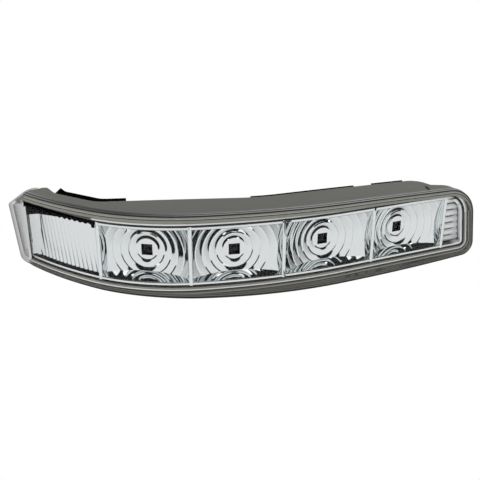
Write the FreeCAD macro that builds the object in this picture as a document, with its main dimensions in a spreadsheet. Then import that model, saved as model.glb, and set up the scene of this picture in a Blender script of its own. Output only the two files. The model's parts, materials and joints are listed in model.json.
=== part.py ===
import FreeCAD, Part
import math
import os

import Sketcher
from FreeCAD import Placement, Rotation, Vector

# Door-mirror indicator lamp: a curved strip of four LED cells behind a clear lens.
# Lengths are millimetres and angles are degrees.
# Design frame: u runs along the lamp, v runs rearwards from the foremost point of the lens,
# z runs up from the lower edge of the lit window. A heading is the turn of the lens face seen
# from above: zero at the foremost point, positive to the right. An inset is a distance inwards.
# Every finished piece is placed so that the mouth of the centre screw boss is the origin.

SIZES = {
    # Plan curve of the lens face, from the left wrap to the straight right run
    "crown_radius": 70.0,
    "crown_left_turn": 28.9,
    "crown_right_turn": 9.0,
    "right_radius": 213.0,
    "right_turn": 25.7,
    "left_radius": 169.0,
    "left_turn": 43.5,
    "wrap_radius": 12.0,
    "wrap_turn": 130.0,
    "wrap_reach": -71.9,
    "wrap_lean": 9.4,
    # Outline seen from the front
    "lens_crown": 28.0,
    "lens_crown_place": -9.0,
    "top_edge_radius": 5000.0,
    "belly_drop": 7.25,
    "belly_place": 80.0,
    "belly_left_radius": 1600.0,
    "belly_right_radius": 890.0,
    "hip_drop": 4.75,
    "hip_radius": 600.0,
    "right_reach": 133.4,
    "right_lean": 8.0,
    "left_reach": -80.0,
    "corner_upper_right": 14.0,
    "corner_lower_right": 5.5,
    "corner_lower_left": 14.4,
    "corner_upper_left": 14.4,
    # Lit window
    "window_height": 24.1,
    "window_left": -63.8,
    "side_border": 6.0,
    "window_corner_upper": 10.0,
    "window_corner_lower": 2.0,
    # Lens shell
    "lens_wall": 2.0,
    "lens_margin": 2.4,
    "nose_wall": 1.8,
    "face_rounding": 0.9,
    # Housing
    "ledge_depth": 1.2,
    "ledge_step": 1.1,
    "flange_depth": 6.0,
    "groove_start": 3.4,
    "groove_width": 0.8,
    "groove_depth": 0.7,
    "flange_step": 0.3,
    "window_depth": 8.4,
    "shelf_step": 1.0,
    "shelf_left": 110.0,
    "shelf_turn": 113.0,
    "shelf_right": 127.0,
    "shelf_deep": 16.5,
    "shelf_shallow": 10.5,
    "housing_left": -65.4,
    "housing_inset": 1.5,
    "housing_wall": 1.6,
    "body_right": 118.1,
    "end_wall_slant": 28.3,
    "right_wall_turn": 24.5,
    "right_wall_depth": 29.1,
    "middle_wall_turn": 6.2,
    "middle_wall_depth": 31.3,
    "left_wall_turn": -33.7,
    "left_corner_turn": -58.2,
    "left_wall_depth": 16.4,
    "left_side_reach": 46.9,
    "left_chamfer_turn": 48.0,
    "bend_radius": 12.0,
    "long_bend_radius": 60.0,
    "rear_corner_radius": 6.0,
    "small_corner_radius": 2.0,
    # Screw bosses on the back wall
    "boss_left_place": -40.4,
    "boss_centre_place": 21.6,
    "boss_right_place": 99.6,
    "boss_diameter": 8.0,
    "boss_height": 5.0,
    "boss_length": 12.0,
    "pilot_diameter": 2.6,
    "pilot_depth": 9.0,
    # Reflector
    "front_gap": 0.5,
    "reflector_clearance": 0.2,
    "reflector_wall": 1.4,
    "reflector_wall_depth": 5.7,
    "cell_wall_depth": 10.8,
    "cell_wall_end": 110.0,
    "divider_one": -29.0,
    "divider_two": 6.8,
    "divider_three": 42.9,
    "divider_four": 80.9,
    "divider_five": 115.5,
    "divider_thickness": 1.7,
    "divider_depth": 6.4,
    "dish_radius": 34.0,
    "dish_depth": 9.5,
    "dish_wall": 1.8,
    "dish_axis_height": 10.2,
    "ring_start": 4.1,
    "ring_pitch": 3.0,
    "riser_width": 0.6,
    "riser_drop": 0.5,
    "cell_shift_one": -2.0,
    "cell_shift_two": 0.6,
    "cell_shift_three": 2.0,
    "cell_shift_four": 1.0,
    "led_window": 4.6,
    "field_depth": 3.0,
    "field_wall": 1.5,
    "field_slope": 3.0,
    "flute_radius": 1.6,
    "flute_pitch": 2.4,
    "flute_lean": 9.0,
    "flute_stand": 0.7,
    "rib_pitch": 3.0,
    "rib_radius": 1.0,
    # Circuit strip, heat spreaders and LEDs
    "board_gap": 1.0,
    "flex_thickness": 0.25,
    "flex_height": 14.0,
    "flex_overhang": 10.0,
    "flex_bend_radius": 15.0,
    "spreader_length": 17.0,
    "spreader_thickness": 1.0,
    "stake_diameter": 2.0,
    "stake_spacing": 13.0,
    "stake_head_diameter": 3.2,
    "stake_head_height": 0.7,
    "hole_clearance": 0.1,
    "led_side": 3.4,
    "led_height": 1.1,
    "led_dome_radius": 0.9,
    "resistor_length": 2.0,
    "resistor_width": 1.2,
    "resistor_height": 0.5,
    "resistor_spacing": 3.0,
    "resistor_rise": 5.2,
    # Driver board and what it carries
    "driver_place": 1.6,
    "driver_standoff": 6.6,
    "driver_length": 31.0,
    "driver_height": 17.0,
    "driver_thickness": 1.2,
    "post_diameter": 5.0,
    "post_spacing": 24.0,
    "post_rise": 5.4,
    "board_screw_diameter": 2.0,
    "board_screw_head": 3.8,
    "board_screw_head_height": 1.0,
    "board_screw_length": 6.0,
    "chip_length": 5.0,
    "chip_width": 4.0,
    "chip_height": 1.6,
    "chip_place": 3.4,
    "capacitor_diameter": 5.0,
    "capacitor_height": 4.0,
    "capacitor_place": 11.0,
    "capacitor_rise": 3.0,
    "diode_length": 4.4,
    "diode_width": 2.6,
    "diode_height": 2.2,
    "diode_place": 3.4,
    "diode_rise": -5.0,
    "link_pin_pitch": 2.0,
    "link_body_height": 2.5,
    # Connector
    "collar_place": -4.4,
    "collar_width": 14.6,
    "collar_height": 10.6,
    "collar_wall": 1.4,
    "collar_depth": 14.0,
    "pin_side": 0.8,
    "pin_pitch": 3.0,
    "pin_reach": 7.0,
    "pin_tail": 0.8,
    # Breather
    "vent_place": -20.0,
    "vent_hole_diameter": 3.0,
    "vent_disc_diameter": 8.0,
    "vent_disc_thickness": 0.4,
    # Foam strips on the back wall
    "foam_left_thickness": 5.0,
    "foam_right_thickness": 2.5,
    "foam_top_margin": 0.2,
    "foam_height": 9.0,
    "foam_left_start": -54.0,
    "foam_left_end": -22.0,
    "foam_middle_start": 30.0,
    "foam_middle_end": 77.0,
    "foam_right_start": 86.0,
    "foam_right_end": 102.0,
}

# Room round the lamp in the stock that its outlines are cut from.
STOCK_MARGIN = 15.0
# Two points nearer than this are one.
TOUCH = 1e-4
# An edge whose direction rises more than this stands upright.
STEEP = 0.8
# The ruled wrap strays from its arcs by less than this.
NEAR_WRAP = 0.2

NUMBERS = ("one", "two", "three", "four", "five")
CELLS = NUMBERS[:4]

doc = FreeCAD.newDocument("indicator_lamp")
sheet = doc.addObject("Spreadsheet::Sheet", "sizes")
for row, (alias, value) in enumerate(SIZES.items(), start=1):
    sheet.set(f"A{row}", alias)
    sheet.set(f"B{row}", str(value))
    sheet.setAlias(f"B{row}", alias)
doc.recompute()


def size(alias):
    return float(sheet.get(alias))


# Lens face


def facing(heading):
    """Direction that the lens faces at a heading."""
    angle = math.radians(heading)
    return Vector(math.sin(angle), -math.cos(angle), 0)


def along(heading):
    """Direction along the lamp at a heading, towards the right."""
    angle = math.radians(heading)
    return Vector(math.cos(angle), math.sin(angle), 0)


class FaceArc:
    """One arc of the lens face, between two headings."""

    def __init__(self, centre, alias, start, end):
        self.centre = centre
        self.alias = alias
        self.radius = size(alias)
        self.start = start
        self.end = end

    def point(self, heading, inset):
        return self.centre + facing(heading) * (self.radius - inset)

    def heading_at(self, u, inset):
        ratio = (u - self.centre.x) / (self.radius - inset)
        return math.degrees(math.asin(max(-1.0, min(1.0, ratio))))

    def next_centre(self, alias, heading):
        """Centre of an arc that goes on smoothly from this one at a heading."""
        return self.centre + facing(heading) * (self.radius - size(alias))


def face_arcs():
    """The tangent arcs of the lens face, from the left wrap to the straight right run."""
    left_joint = -size("crown_left_turn")
    right_joint = size("crown_right_turn")
    wrap_joint = -size("left_turn")
    crown = FaceArc(Vector(0, size("crown_radius"), 0), "crown_radius", left_joint, right_joint)
    right_centre = crown.next_centre("right_radius", right_joint)
    right = FaceArc(right_centre, "right_radius", right_joint, size("right_turn"))
    left = FaceArc(crown.next_centre("left_radius", left_joint), "left_radius", wrap_joint, left_joint)
    wrap_centre = left.next_centre("wrap_radius", wrap_joint)
    wrap = FaceArc(wrap_centre, "wrap_radius", -size("wrap_turn"), wrap_joint)
    return wrap, left, crown, right


WRAP, LEFT, CROWN, RIGHT = ARCS = face_arcs()
STOCK_END = size("right_reach") + STOCK_MARGIN


def run_start(inset):
    """Where the right arc passes into the straight right run."""
    return RIGHT.point(RIGHT.end, inset)


def face_point(u, inset):
    """Point of the lens face, moved inwards, at a place along the lamp."""
    straight = run_start(inset)
    if u > straight.x:
        rise = (u - straight.x) * math.tan(math.radians(size("right_turn")))
        return Vector(u, straight.y + rise, 0)
    for arc in (RIGHT, CROWN, LEFT):
        if u >= arc.point(arc.start, inset).x:
            return arc.point(arc.heading_at(u, inset), inset)
    return WRAP.point(WRAP.heading_at(u, inset), inset)


def crossing(point_a, direction_a, point_b, direction_b):
    """Where two lines cross."""
    gap = point_b - point_a
    cross = direction_a.x * direction_b.y - direction_a.y * direction_b.x
    reach = (gap.x * direction_b.y - gap.y * direction_b.x) / cross
    return point_a + direction_a * reach


def line_on_circle(point, direction, centre, radius, side):
    """Where a line meets a circle, on the far side (1) or the near side (-1)."""
    start = point - centre
    half = start.dot(direction)
    root = math.sqrt(half * half - start.dot(start) + radius * radius)
    return point + direction * (side * root - half)


# Outlines


class Run:
    """A straight or round stretch of an outline; a rule binds an arc's radius to the sheet."""

    def __init__(self, start, end, centre=None, rule=None):
        self.start = start
        self.end = end
        self.centre = centre
        self.rule = rule

    def turns_back(self):
        """Whether the stretch is an arc that turns clockwise."""
        if self.centre is None:
            return False
        before = self.start - self.centre
        after = self.end - self.centre
        return before.x * after.y - before.y * after.x < 0

    def curve(self):
        if self.centre is None:
            return Part.LineSegment(self.start, self.end)
        first, last = (self.end, self.start) if self.turns_back() else (self.start, self.end)
        first_angle = math.atan2(first.y - self.centre.y, first.x - self.centre.x)
        last_angle = math.atan2(last.y - self.centre.y, last.x - self.centre.x)
        if last_angle < first_angle:
            last_angle += 2 * math.pi
        circle = Part.Circle(self.centre, Vector(0, 0, 1), (first - self.centre).Length)
        return Part.ArcOfCircle(circle, first_angle, last_angle)

    def reverse(self):
        return Run(self.end, self.start, self.centre, self.rule)


def reversed_runs(runs):
    return [run.reverse() for run in reversed(runs)]


def face_runs(inset, first_u=None, last_u=None):
    """The lens face moved inwards, as runs from left to right, between two places if given."""
    runs = []
    for arc in ARCS:
        start = arc.point(arc.start, inset)
        end = arc.point(arc.end, inset)
        if first_u is not None and end.x <= first_u:
            continue
        if first_u is not None and not runs:
            start = arc.point(arc.heading_at(first_u, inset), inset)
        stops = last_u is not None and end.x >= last_u
        if stops:
            end = arc.point(arc.heading_at(last_u, inset), inset)
        runs.append(Run(start, end, arc.centre, f"sizes.{arc.alias} - {inset:g}"))
        if stops:
            return runs
    start = run_start(inset) if runs else face_point(first_u, inset)
    runs.append(Run(start, face_point(STOCK_END if last_u is None else last_u, inset)))
    return runs


def corner_runs(points, radii):
    """Straight runs through the points, each inner corner rounded by its radius."""
    runs = []
    cursor = points[0]
    for before, corner, after, radius in zip(points, points[1:], points[2:], radii):
        inward = (before - corner).normalize()
        outward = (after - corner).normalize()
        half = inward.getAngle(outward) / 2
        start = corner + inward * (radius / math.tan(half))
        end = corner + outward * (radius / math.tan(half))
        centre = corner + (inward + outward).normalize() * (radius / math.sin(half))
        runs.append(Run(cursor, start))
        runs.append(Run(start, end, centre))
        cursor = end
    runs.append(Run(cursor, points[-1]))
    return runs


def polygon(points):
    return [Run(start, end) for start, end in zip(points, points[1:] + points[:1])]


def closed(runs):
    """The runs, with a straight one wherever one doesn't start where the last ended."""
    whole = []
    for run, following in zip(runs, runs[1:] + runs[:1]):
        whole.append(run)
        if run.end.distanceToPoint(following.start) > TOUCH:
            whole.append(Run(run.end, following.start))
    return whole


def outline_sketch(name, runs, placement=Placement()):
    """A closed sketch of the runs; each arc with a rule keeps the radius that the sheet gives."""
    sketch = doc.addObject("Sketcher::SketchObject", name + "_outline")
    sketch.Placement = placement
    runs = closed(runs)
    for run in runs:
        sketch.addGeometry(run.curve(), False)
    for number, run in enumerate(runs):
        following = (number + 1) % len(runs)
        leaves = 1 if run.turns_back() else 2
        enters = 2 if runs[following].turns_back() else 1
        sketch.addConstraint(Sketcher.Constraint("Coincident", number, leaves, following, enters))
    for number, run in enumerate(runs):
        if run.rule is not None:
            radius = (run.start - run.centre).Length
            index = sketch.addConstraint(Sketcher.Constraint("Radius", number, radius))
            sketch.renameConstraint(index, f"radius_{number}")
            sketch.setExpression(f"Constraints.radius_{number}", run.rule)
    return sketch


def extrusion(name, sketch, direction, length_rule):
    block = doc.addObject("Part::Extrusion", name)
    block.Base = sketch
    block.DirMode = "Custom"
    block.Dir = direction
    block.Solid = True
    block.setExpression("LengthFwd", length_rule)
    doc.recompute()
    return block


def plan_block(name, runs, low=None, height_rule=None):
    """A plan outline raised into a block, as tall as the stock unless told otherwise."""
    if low is None:
        low = -size("belly_drop") - STOCK_MARGIN
        height_rule = f"sizes.lens_crown + sizes.belly_drop + {2 * STOCK_MARGIN}"
    placement = Placement(Vector(0, 0, low), Rotation())
    return extrusion(name, outline_sketch(name, runs, placement), Vector(0, 0, 1), height_rule)


def front_block(name, runs, corners=()):
    """An outline seen from the front, run right through the stock, with its corners rounded."""
    view = Placement(Vector(0, -STOCK_MARGIN, 0), Rotation(Vector(1, 0, 0), 90))
    sketch = outline_sketch(name, runs, view)
    block = extrusion(name + "_block", sketch, Vector(0, 1, 0), "sizes.right_reach")
    if not corners:
        return block
    edges = []
    for corner, radius in corners:
        for number, edge in enumerate(block.Shape.Edges, start=1):
            ends = [vertex.Point for vertex in edge.Vertexes]
            if all(math.hypot(end.x - corner.x, end.z - corner.y) < TOUCH for end in ends):
                edges.append((number, radius, radius))
    rounded = doc.addObject("Part::Fillet", name)
    rounded.Base = block
    rounded.Edges = edges
    doc.recompute()
    return rounded


def side_up():
    """Direction up the right side, which leans inwards."""
    lean = math.radians(size("right_lean"))
    return Vector(-math.sin(lean), math.cos(lean), 0)


def side_foot(inset):
    """Where the right side, moved inwards, crosses the level of the window's lower edge."""
    return Vector(size("right_reach") - inset / side_up().y, 0, 0)


def lamp_front(name, inset):
    """The lamp's outline seen from the front, moved inwards."""
    top_centre = Vector(size("lens_crown_place"), size("lens_crown") - size("top_edge_radius"), 0)
    left_centre = Vector(size("belly_place"), size("belly_left_radius") - size("belly_drop"), 0)
    right_centre = Vector(size("belly_place"), size("belly_right_radius") - size("belly_drop"), 0)
    lowest = Vector(size("belly_place"), inset - size("belly_drop"), 0)
    top_radius = size("top_edge_radius") - inset
    right_radius = size("belly_right_radius") - inset
    hip_low = -size("hip_drop") - size("hip_radius")
    reach = size("belly_left_radius") + size("hip_radius")
    spread = math.sqrt(reach * reach - (left_centre.y - hip_low) ** 2)
    hip_centre = Vector(size("belly_place") - spread, hip_low, 0)
    hip_start = hip_centre + Vector(0, size("hip_radius") + inset, 0)
    hip_end = hip_centre + (left_centre - hip_centre) * ((size("hip_radius") + inset) / reach)
    left_foot = Vector(size("left_reach") + inset, 0, 0)
    left_up = Vector(0, 1, 0)
    upper_right = line_on_circle(side_foot(inset), side_up(), top_centre, top_radius, 1)
    upper_left = line_on_circle(left_foot, left_up, top_centre, top_radius, 1)
    lower_right = line_on_circle(side_foot(inset), side_up(), right_centre, right_radius, -1)
    lower_left = Vector(left_foot.x, hip_start.y, 0)
    runs = [
        Run(lower_left, hip_start),
        Run(hip_start, hip_end, hip_centre, f"sizes.hip_radius + {inset:g}"),
        Run(hip_end, lowest, left_centre, f"sizes.belly_left_radius - {inset:g}"),
        Run(lowest, lower_right, right_centre, f"sizes.belly_right_radius - {inset:g}"),
        Run(upper_right, upper_left, top_centre, f"sizes.top_edge_radius - {inset:g}"),
    ]
    corners = [
        (upper_right, size("corner_upper_right") - inset),
        (lower_right, size("corner_lower_right") - inset),
        (lower_left, size("corner_lower_left") - inset),
        (upper_left, size("corner_upper_left") - inset),
    ]
    return front_block(name, runs, corners)


def window_front(name, inset):
    """The lit window's outline seen from the front, moved inwards."""
    side = side_foot(size("side_border") + inset)
    flat = Vector(1, 0, 0)
    low = inset
    high = size("window_height") - inset
    left = size("window_left") + inset
    lower_right = crossing(side, side_up(), Vector(0, low, 0), flat)
    upper_right = crossing(side, side_up(), Vector(0, high, 0), flat)
    runs = [Run(Vector(left, low, 0), lower_right), Run(upper_right, Vector(left, high, 0))]
    corners = [
        (upper_right, size("window_corner_upper") - inset),
        (lower_right, size("window_corner_lower") - inset),
    ]
    return front_block(name, runs, corners)


def band(name, near, far, first_u=None, last_u=None):
    """A block that follows the lens face between two insets."""
    front = face_runs(near, first_u, last_u)
    back = reversed_runs(face_runs(far, first_u, last_u))
    return plan_block(name, front + back)


def slab(name, first_u, last_u, low=None, height_rule=None):
    """Everything between two places along the lamp."""
    far = STOCK_END
    corners = [
        Vector(first_u, -STOCK_MARGIN, 0),
        Vector(last_u, -STOCK_MARGIN, 0),
        Vector(last_u, far, 0),
        Vector(first_u, far, 0),
    ]
    return plan_block(name, polygon(corners), low, height_rule)


# Booleans and primitives


def pair(kind, name, base, tool):
    item = doc.addObject(kind, name)
    item.Base = base
    item.Tool = tool
    doc.recompute()
    return item


def common(name, base, tool):
    return pair("Part::Common", name, base, tool)


def cut(name, base, tool):
    return pair("Part::Cut", name, base, tool)


def fuse(name, shapes):
    item = doc.addObject("Part::MultiFuse", name)
    item.Shapes = shapes
    doc.recompute()
    return item


def group(name, shapes):
    item = doc.addObject("Part::Compound", name)
    item.Links = shapes
    doc.recompute()
    return item


def box(name, rules, placement):
    """A box that stands on its placement, centred on that placement's own z."""
    item = doc.addObject("Part::Box", name)
    for prop, rule in zip(("Length", "Width", "Height"), rules):
        item.setExpression(prop, rule)
    doc.recompute()
    corner = Vector(-item.Length.Value / 2, -item.Width.Value / 2, 0)
    item.Placement = placement.multiply(Placement(corner, Rotation()))
    doc.recompute()
    return item


def cylinder(name, diameter_rule, length_rule, placement):
    item = doc.addObject("Part::Cylinder", name)
    item.setExpression("Radius", f"({diameter_rule}) / 2")
    item.setExpression("Height", length_rule)
    item.Placement = placement
    doc.recompute()
    return item


def looking_back(u, v, z):
    """A placement whose own z points rearwards and whose own y points down."""
    turn = Rotation(Vector(1, 0, 0), Vector(0, 0, -1), Vector(0, 1, 0), "XYZ")
    return Placement(Vector(u, v, z), turn)


# Lamp levels

REFLECTOR_INSET = size("lens_wall") + size("front_gap")
FLANGE_BACK = size("lens_wall") + size("flange_depth")
AXIS = size("dish_axis_height")
NOSE_SPLIT = size("left_reach") + size("corner_lower_left")


def wrap_at(height):
    """The leaning wrap of the lens at a height: its arc, smooth with the left arc of the face."""
    radius = size("wrap_radius")
    leftmost = size("wrap_reach") - height * math.tan(math.radians(size("wrap_lean")))
    sine = (leftmost + radius - LEFT.centre.x) / (LEFT.radius - radius)
    joint = math.degrees(math.asin(sine))
    centre = LEFT.centre + facing(joint) * (LEFT.radius - radius)
    return FaceArc(centre, "wrap_radius", -size("wrap_turn"), joint)


def nose_plan(height, inset, open_end):
    """Plan of the nose at a height: from the split, round the wrap, and back along the cap."""
    wrap = wrap_at(height)
    split = face_point(NOSE_SPLIT, inset)
    joint = LEFT.point(wrap.end, inset)
    end = wrap.point(wrap.start, inset)
    rear = end + Vector(0, open_end, 0)
    cap = size("housing_left") + open_end
    corner = Vector(cap, rear.y, 0)
    low = face_point(cap, size("lens_wall") if open_end == 0 else inset)
    runs = [Run(end, joint, wrap.centre), Run(joint, split, LEFT.centre)]
    if open_end == 0:
        behind = face_point(NOSE_SPLIT, size("lens_wall"))
        runs += [Run(split, behind), Run(behind, low, LEFT.centre)]
        return runs + [Run(low, corner), Run(corner, end)]
    return [runs[0], Run(joint, low, LEFT.centre), Run(low, corner), Run(corner, rear), Run(rear, end)]


def nose_loft(name, inset, open_end):
    """The nose, ruled between its plans below the belly and above the crown."""
    sections = []
    for label, height in (("low", -size("belly_drop") - 1), ("high", size("lens_crown") + 1)):
        placement = Placement(Vector(0, 0, height), Rotation())
        sections.append(outline_sketch(f"{name}_{label}", nose_plan(height, inset, open_end), placement))
    loft = doc.addObject("Part::Loft", name)
    loft.Sections = sections
    loft.Solid = True
    loft.Ruled = True
    doc.recompute()
    return loft


def make_lens():
    """Clear cover: a curved plate in front of the housing, and a hollow nose round the left end."""
    margin = size("lens_margin")
    outline = lamp_front("lens_front", margin)
    nose = common("nose_solid", nose_loft("nose", 0, 0), outline)
    hollow_front = lamp_front("nose_hollow_front", margin + size("nose_wall"))
    hollow = common("nose_hollow", nose_loft("nose_inside", size("lens_wall"), size("lens_wall")), hollow_front)
    cover = common("cover_solid", band("cover_plan", 0, size("lens_wall"), NOSE_SPLIT), outline)
    blank = fuse("lens_blank", [nose, cover])
    blank.Refine = True
    doc.recompute()
    return cut("lens", rounded_face(blank), hollow)


def on_face(point):
    """Whether a point lies on the lens face, the leaning wrap included."""
    flat = Vector(point.x, point.y, 0)
    if flat.x > run_start(0).x:
        return flat.distanceToPoint(face_point(flat.x, 0)) < TOUCH
    if any(abs(flat.distanceToPoint(arc.centre) - arc.radius) < TOUCH for arc in ARCS[1:]):
        return True
    wrap = wrap_at(point.z)
    return flat.x < wrap.centre.x and abs(flat.distanceToPoint(wrap.centre) - wrap.radius) < NEAR_WRAP


def rounded_face(blank):
    """The lens with the edge of its face rounded."""
    rims = []
    for number, edge in enumerate(blank.Shape.Edges, start=1):
        halfway = (edge.FirstParameter + edge.LastParameter) / 2
        middle = edge.valueAt(halfway)
        joint = abs(edge.tangentAt(halfway).z) > STEEP and middle.x < size("body_right")
        if on_face(middle) and not joint:
            rims.append((number, size("face_rounding"), size("face_rounding")))
    rounded = doc.addObject("Part::Fillet", "lens_rounded")
    rounded.Base = blank
    rounded.Edges = rims
    doc.recompute()
    return rounded


# Housing


def rear_corners(inset, near):
    """Corners of the housing's rear outline, moved inwards, from its right end to its left side."""
    side = size("housing_left")
    chamfer_turn = size("left_chamfer_turn")
    chamfer = Vector(side, size("left_side_reach"), 0) + facing(chamfer_turn) * inset
    end_turn = 90 + size("end_wall_slant")
    end_wall = face_point(size("body_right"), FLANGE_BACK) - facing(end_turn) * inset
    lines = [(Vector(side + inset, 0, 0), 90.0), (chamfer, chamfer_turn)]
    for arc, name, depth in (
        (WRAP, "left_corner_turn", "left_wall_depth"),
        (LEFT, "left_wall_turn", "left_wall_depth"),
        (CROWN, "middle_wall_turn", "middle_wall_depth"),
        (RIGHT, "right_wall_turn", "right_wall_depth"),
    ):
        lines.append((arc.point(size(name), size(depth) - inset), size(name)))
    lines.append((end_wall, end_turn))
    lines.append((run_start(near), size("right_turn")))
    corners = []
    for (point_a, turn_a), (point_b, turn_b) in zip(lines, lines[1:]):
        corners.append(crossing(point_a, along(turn_a), point_b, along(turn_b)))
    return corners[::-1]


def rear_runs(inset, near):
    """The housing's rear outline as runs, from its right end to its left side."""
    radii = [
        size("rear_corner_radius") - inset,
        size("long_bend_radius") + inset,
        size("bend_radius") + inset,
        size("bend_radius") + inset,
        size("small_corner_radius") - inset,
        size("small_corner_radius"),
    ]
    left_end = Vector(size("housing_left") + inset, WRAP.centre.y, 0)
    return corner_runs(rear_corners(inset, near) + [left_end], radii)


def body_runs(inset, near):
    """The housing body's plan, moved inwards; its front edge is an inset from the lens face."""
    rear = rear_runs(inset, near)
    return face_runs(near, size("housing_left") + inset, rear[0].start.x) + rear


def wall_point(u):
    """Point of the outer back wall at a place along the lamp."""
    corners = rear_corners(0, FLANGE_BACK)
    for after, before in zip(corners[1:], corners[2:]):
        if before.x <= u <= after.x:
            return before + (after - before) * ((u - before.x) / (after.x - before.x))
    raise ValueError(f"no back wall at {u}")


def boss_mouth(side):
    place = size(f"boss_{side}_place")
    return Vector(place, wall_point(place).y + size("boss_height"), AXIS)


def flange_rings():
    """The stepped and grooved rings of the flange, each as a name, its insets and its step."""
    front = size("lens_wall")
    ledge = front + size("ledge_depth")
    groove = front + size("groove_start")
    groove_end = groove + size("groove_width")
    return [
        ("ledge", front, ledge, size("ledge_step")),
        ("flange_front", ledge, groove, 0.0),
        ("groove", groove, groove_end, size("groove_depth")),
        ("flange_back", groove_end, FLANGE_BACK, size("flange_step")),
    ]


def end_shelf():
    """Shallow shelf behind the flange, right of the deep body."""
    near = (size("window_depth") + FLANGE_BACK) / 2 - size("housing_wall")
    corners = [
        face_point(size("shelf_left"), near),
        face_point(STOCK_END, near),
        face_point(STOCK_END, size("shelf_shallow")),
        face_point(size("shelf_right"), size("shelf_shallow")),
        face_point(size("shelf_turn"), size("shelf_deep")),
        face_point(size("shelf_left"), size("shelf_deep")),
    ]
    return common("shelf", plan_block("shelf_plan", polygon(corners)), lamp_front("shelf_front", size("shelf_step")))


def make_housing(driver_back):
    """Moulded back shell: flange rings, body, bosses, board posts and connector collar."""
    left = size("housing_left")
    body = lamp_front("body_front", size("housing_inset"))
    body_plan = plan_block("body_plan", body_runs(0, FLANGE_BACK - size("flange_depth") / 2))
    parts = [common("housing_body", body_plan, body), end_shelf()]
    for name, near, far, step in flange_rings():
        parts.append(common(name, band(name + "_plan", near, far, left), lamp_front(name + "_outline", step)))
    for side in ("left", "centre", "right"):
        mouth = boss_mouth(side)
        start = looking_back(mouth.x, mouth.y - size("boss_length"), AXIS)
        parts.append(cylinder(f"boss_{side}", "sizes.boss_diameter", "sizes.boss_length", start))
    wall = size("housing_wall")
    collar_v = wall_point(size("collar_place")).y
    collar_start = looking_back(size("collar_place"), collar_v - wall / 2, AXIS)
    parts.append(
        box(
            "collar",
            ("sizes.collar_width", "sizes.collar_height", "sizes.collar_depth + sizes.housing_wall / 2"),
            collar_start,
        )
    )
    shell = fuse("housing_blank", parts)
    inner_near = size("window_depth")
    clear = size("reflector_clearance")
    cells_back = REFLECTOR_INSET + size("cell_wall_depth") + clear
    window_plan = band("window_plan", 0, inner_near, size("window_left"))
    cells_plan = band("window_cells_plan", 0, cells_back, size("divider_one") - clear, size("divider_five") - wall)
    hollows = [
        common("housing_window", fuse("window_plans", [window_plan, cells_plan]), window_front("window_front", 0)),
        common(
            "housing_hollow",
            plan_block("hollow_plan", body_runs(wall, inner_near - TOUCH)),
            lamp_front("hollow_front", size("housing_inset") + wall),
        ),
    ]
    shell = cut("housing_shell", shell, fuse("housing_hollows", hollows))
    additions = [shell]
    for number, (u, z) in enumerate(post_places()):
        length = wall_point(u).y - wall / 2 - driver_back
        post = cylinder(f"post_{number}", "sizes.post_diameter", "sizes.boss_length", looking_back(u, driver_back, z))
        post.setExpression("Height", None)
        post.Height = length
        additions.append(post)
    for side in ("left", "centre", "right"):
        mouth = boss_mouth(side)
        start = looking_back(mouth.x, mouth.y - size("boss_length"), AXIS)
        additions.append(cylinder(f"inner_boss_{side}", "sizes.boss_diameter", "sizes.boss_length", start))
    blank = fuse("housing_fitted", additions)
    return cut("housing", blank, fuse("housing_holes", housing_holes(driver_back, collar_v)))


def post_places():
    """Where the two board posts stand: at opposite corners of the driver board."""
    half = size("post_spacing") / 2
    place = size("driver_place")
    rise = size("post_rise")
    return [(place - half, AXIS + rise), (place + half, AXIS - rise)]


def housing_holes(driver_back, collar_v):
    holes = []
    for side in ("left", "centre", "right"):
        mouth = boss_mouth(side)
        start = looking_back(mouth.x, mouth.y - size("pilot_depth"), AXIS)
        holes.append(cylinder(f"pilot_{side}", "sizes.pilot_diameter", "sizes.pilot_depth", start))
    for number, (u, z) in enumerate(post_places()):
        start = looking_back(u, driver_back, z)
        rule = "sizes.board_screw_diameter"
        holes.append(cylinder(f"post_hole_{number}", rule, "sizes.board_screw_length", start))
    inner_width = "sizes.collar_width - 2 * sizes.collar_wall"
    inner_height = "sizes.collar_height - 2 * sizes.collar_wall"
    floor = looking_back(size("collar_place"), collar_v, AXIS)
    holes.append(box("collar_pocket", (inner_width, inner_height, "sizes.collar_depth"), floor))
    hole_side = "sizes.pin_side + 2 * sizes.hole_clearance"
    for number, u in enumerate(pin_places()):
        start = looking_back(u, collar_v - 2 * size("housing_wall"), AXIS)
        holes.append(box(f"pin_hole_{number}", (hole_side, hole_side, "3 * sizes.housing_wall"), start))
    vent = wall_point(size("vent_place"))
    start = looking_back(vent.x, vent.y - 2 * size("housing_wall"), AXIS)
    holes.append(cylinder("vent_hole", "sizes.vent_hole_diameter", "4 * sizes.housing_wall", start))
    return holes


def pin_places():
    return [size("collar_place") + step * size("pin_pitch") for step in (-1, 0, 1)]


# Cells


def divider_point(number):
    return face_point(size(f"divider_{number}"), REFLECTOR_INSET)


def cell_frame(cell):
    """Centre of a cell's front: own x along the cell, own y up, own z out towards the lens."""
    left = divider_point(cell)
    right = divider_point(NUMBERS[NUMBERS.index(cell) + 1])
    side = (right - left).normalize()
    outward = Vector(side.y, -side.x, 0)
    centre = (left + right) / 2 + side * size(f"cell_shift_{cell}")
    return Placement(centre + Vector(0, 0, AXIS), Rotation(side, Vector(0, 0, 1), outward, "XYZ"))


def in_cell(cell, depth, x=0.0, y=0.0):
    return cell_frame(cell).multiply(Placement(Vector(x, y, -depth), Rotation()))


def divider_inward(number):
    """Direction rearwards at a divider: square to the two cells that meet there."""
    index = NUMBERS.index(number)
    cells = CELLS[max(0, index - 1):index + 1]
    total = Vector(0, 0, 0)
    for cell in cells:
        total = total - cell_frame(cell).Rotation.multVec(Vector(0, 0, 1))
    return total.normalize()


def dish_height(radius):
    """How far the dish stands forward of its floor at a radius."""
    return size("dish_radius") - math.sqrt(size("dish_radius") ** 2 - radius * radius)


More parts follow.
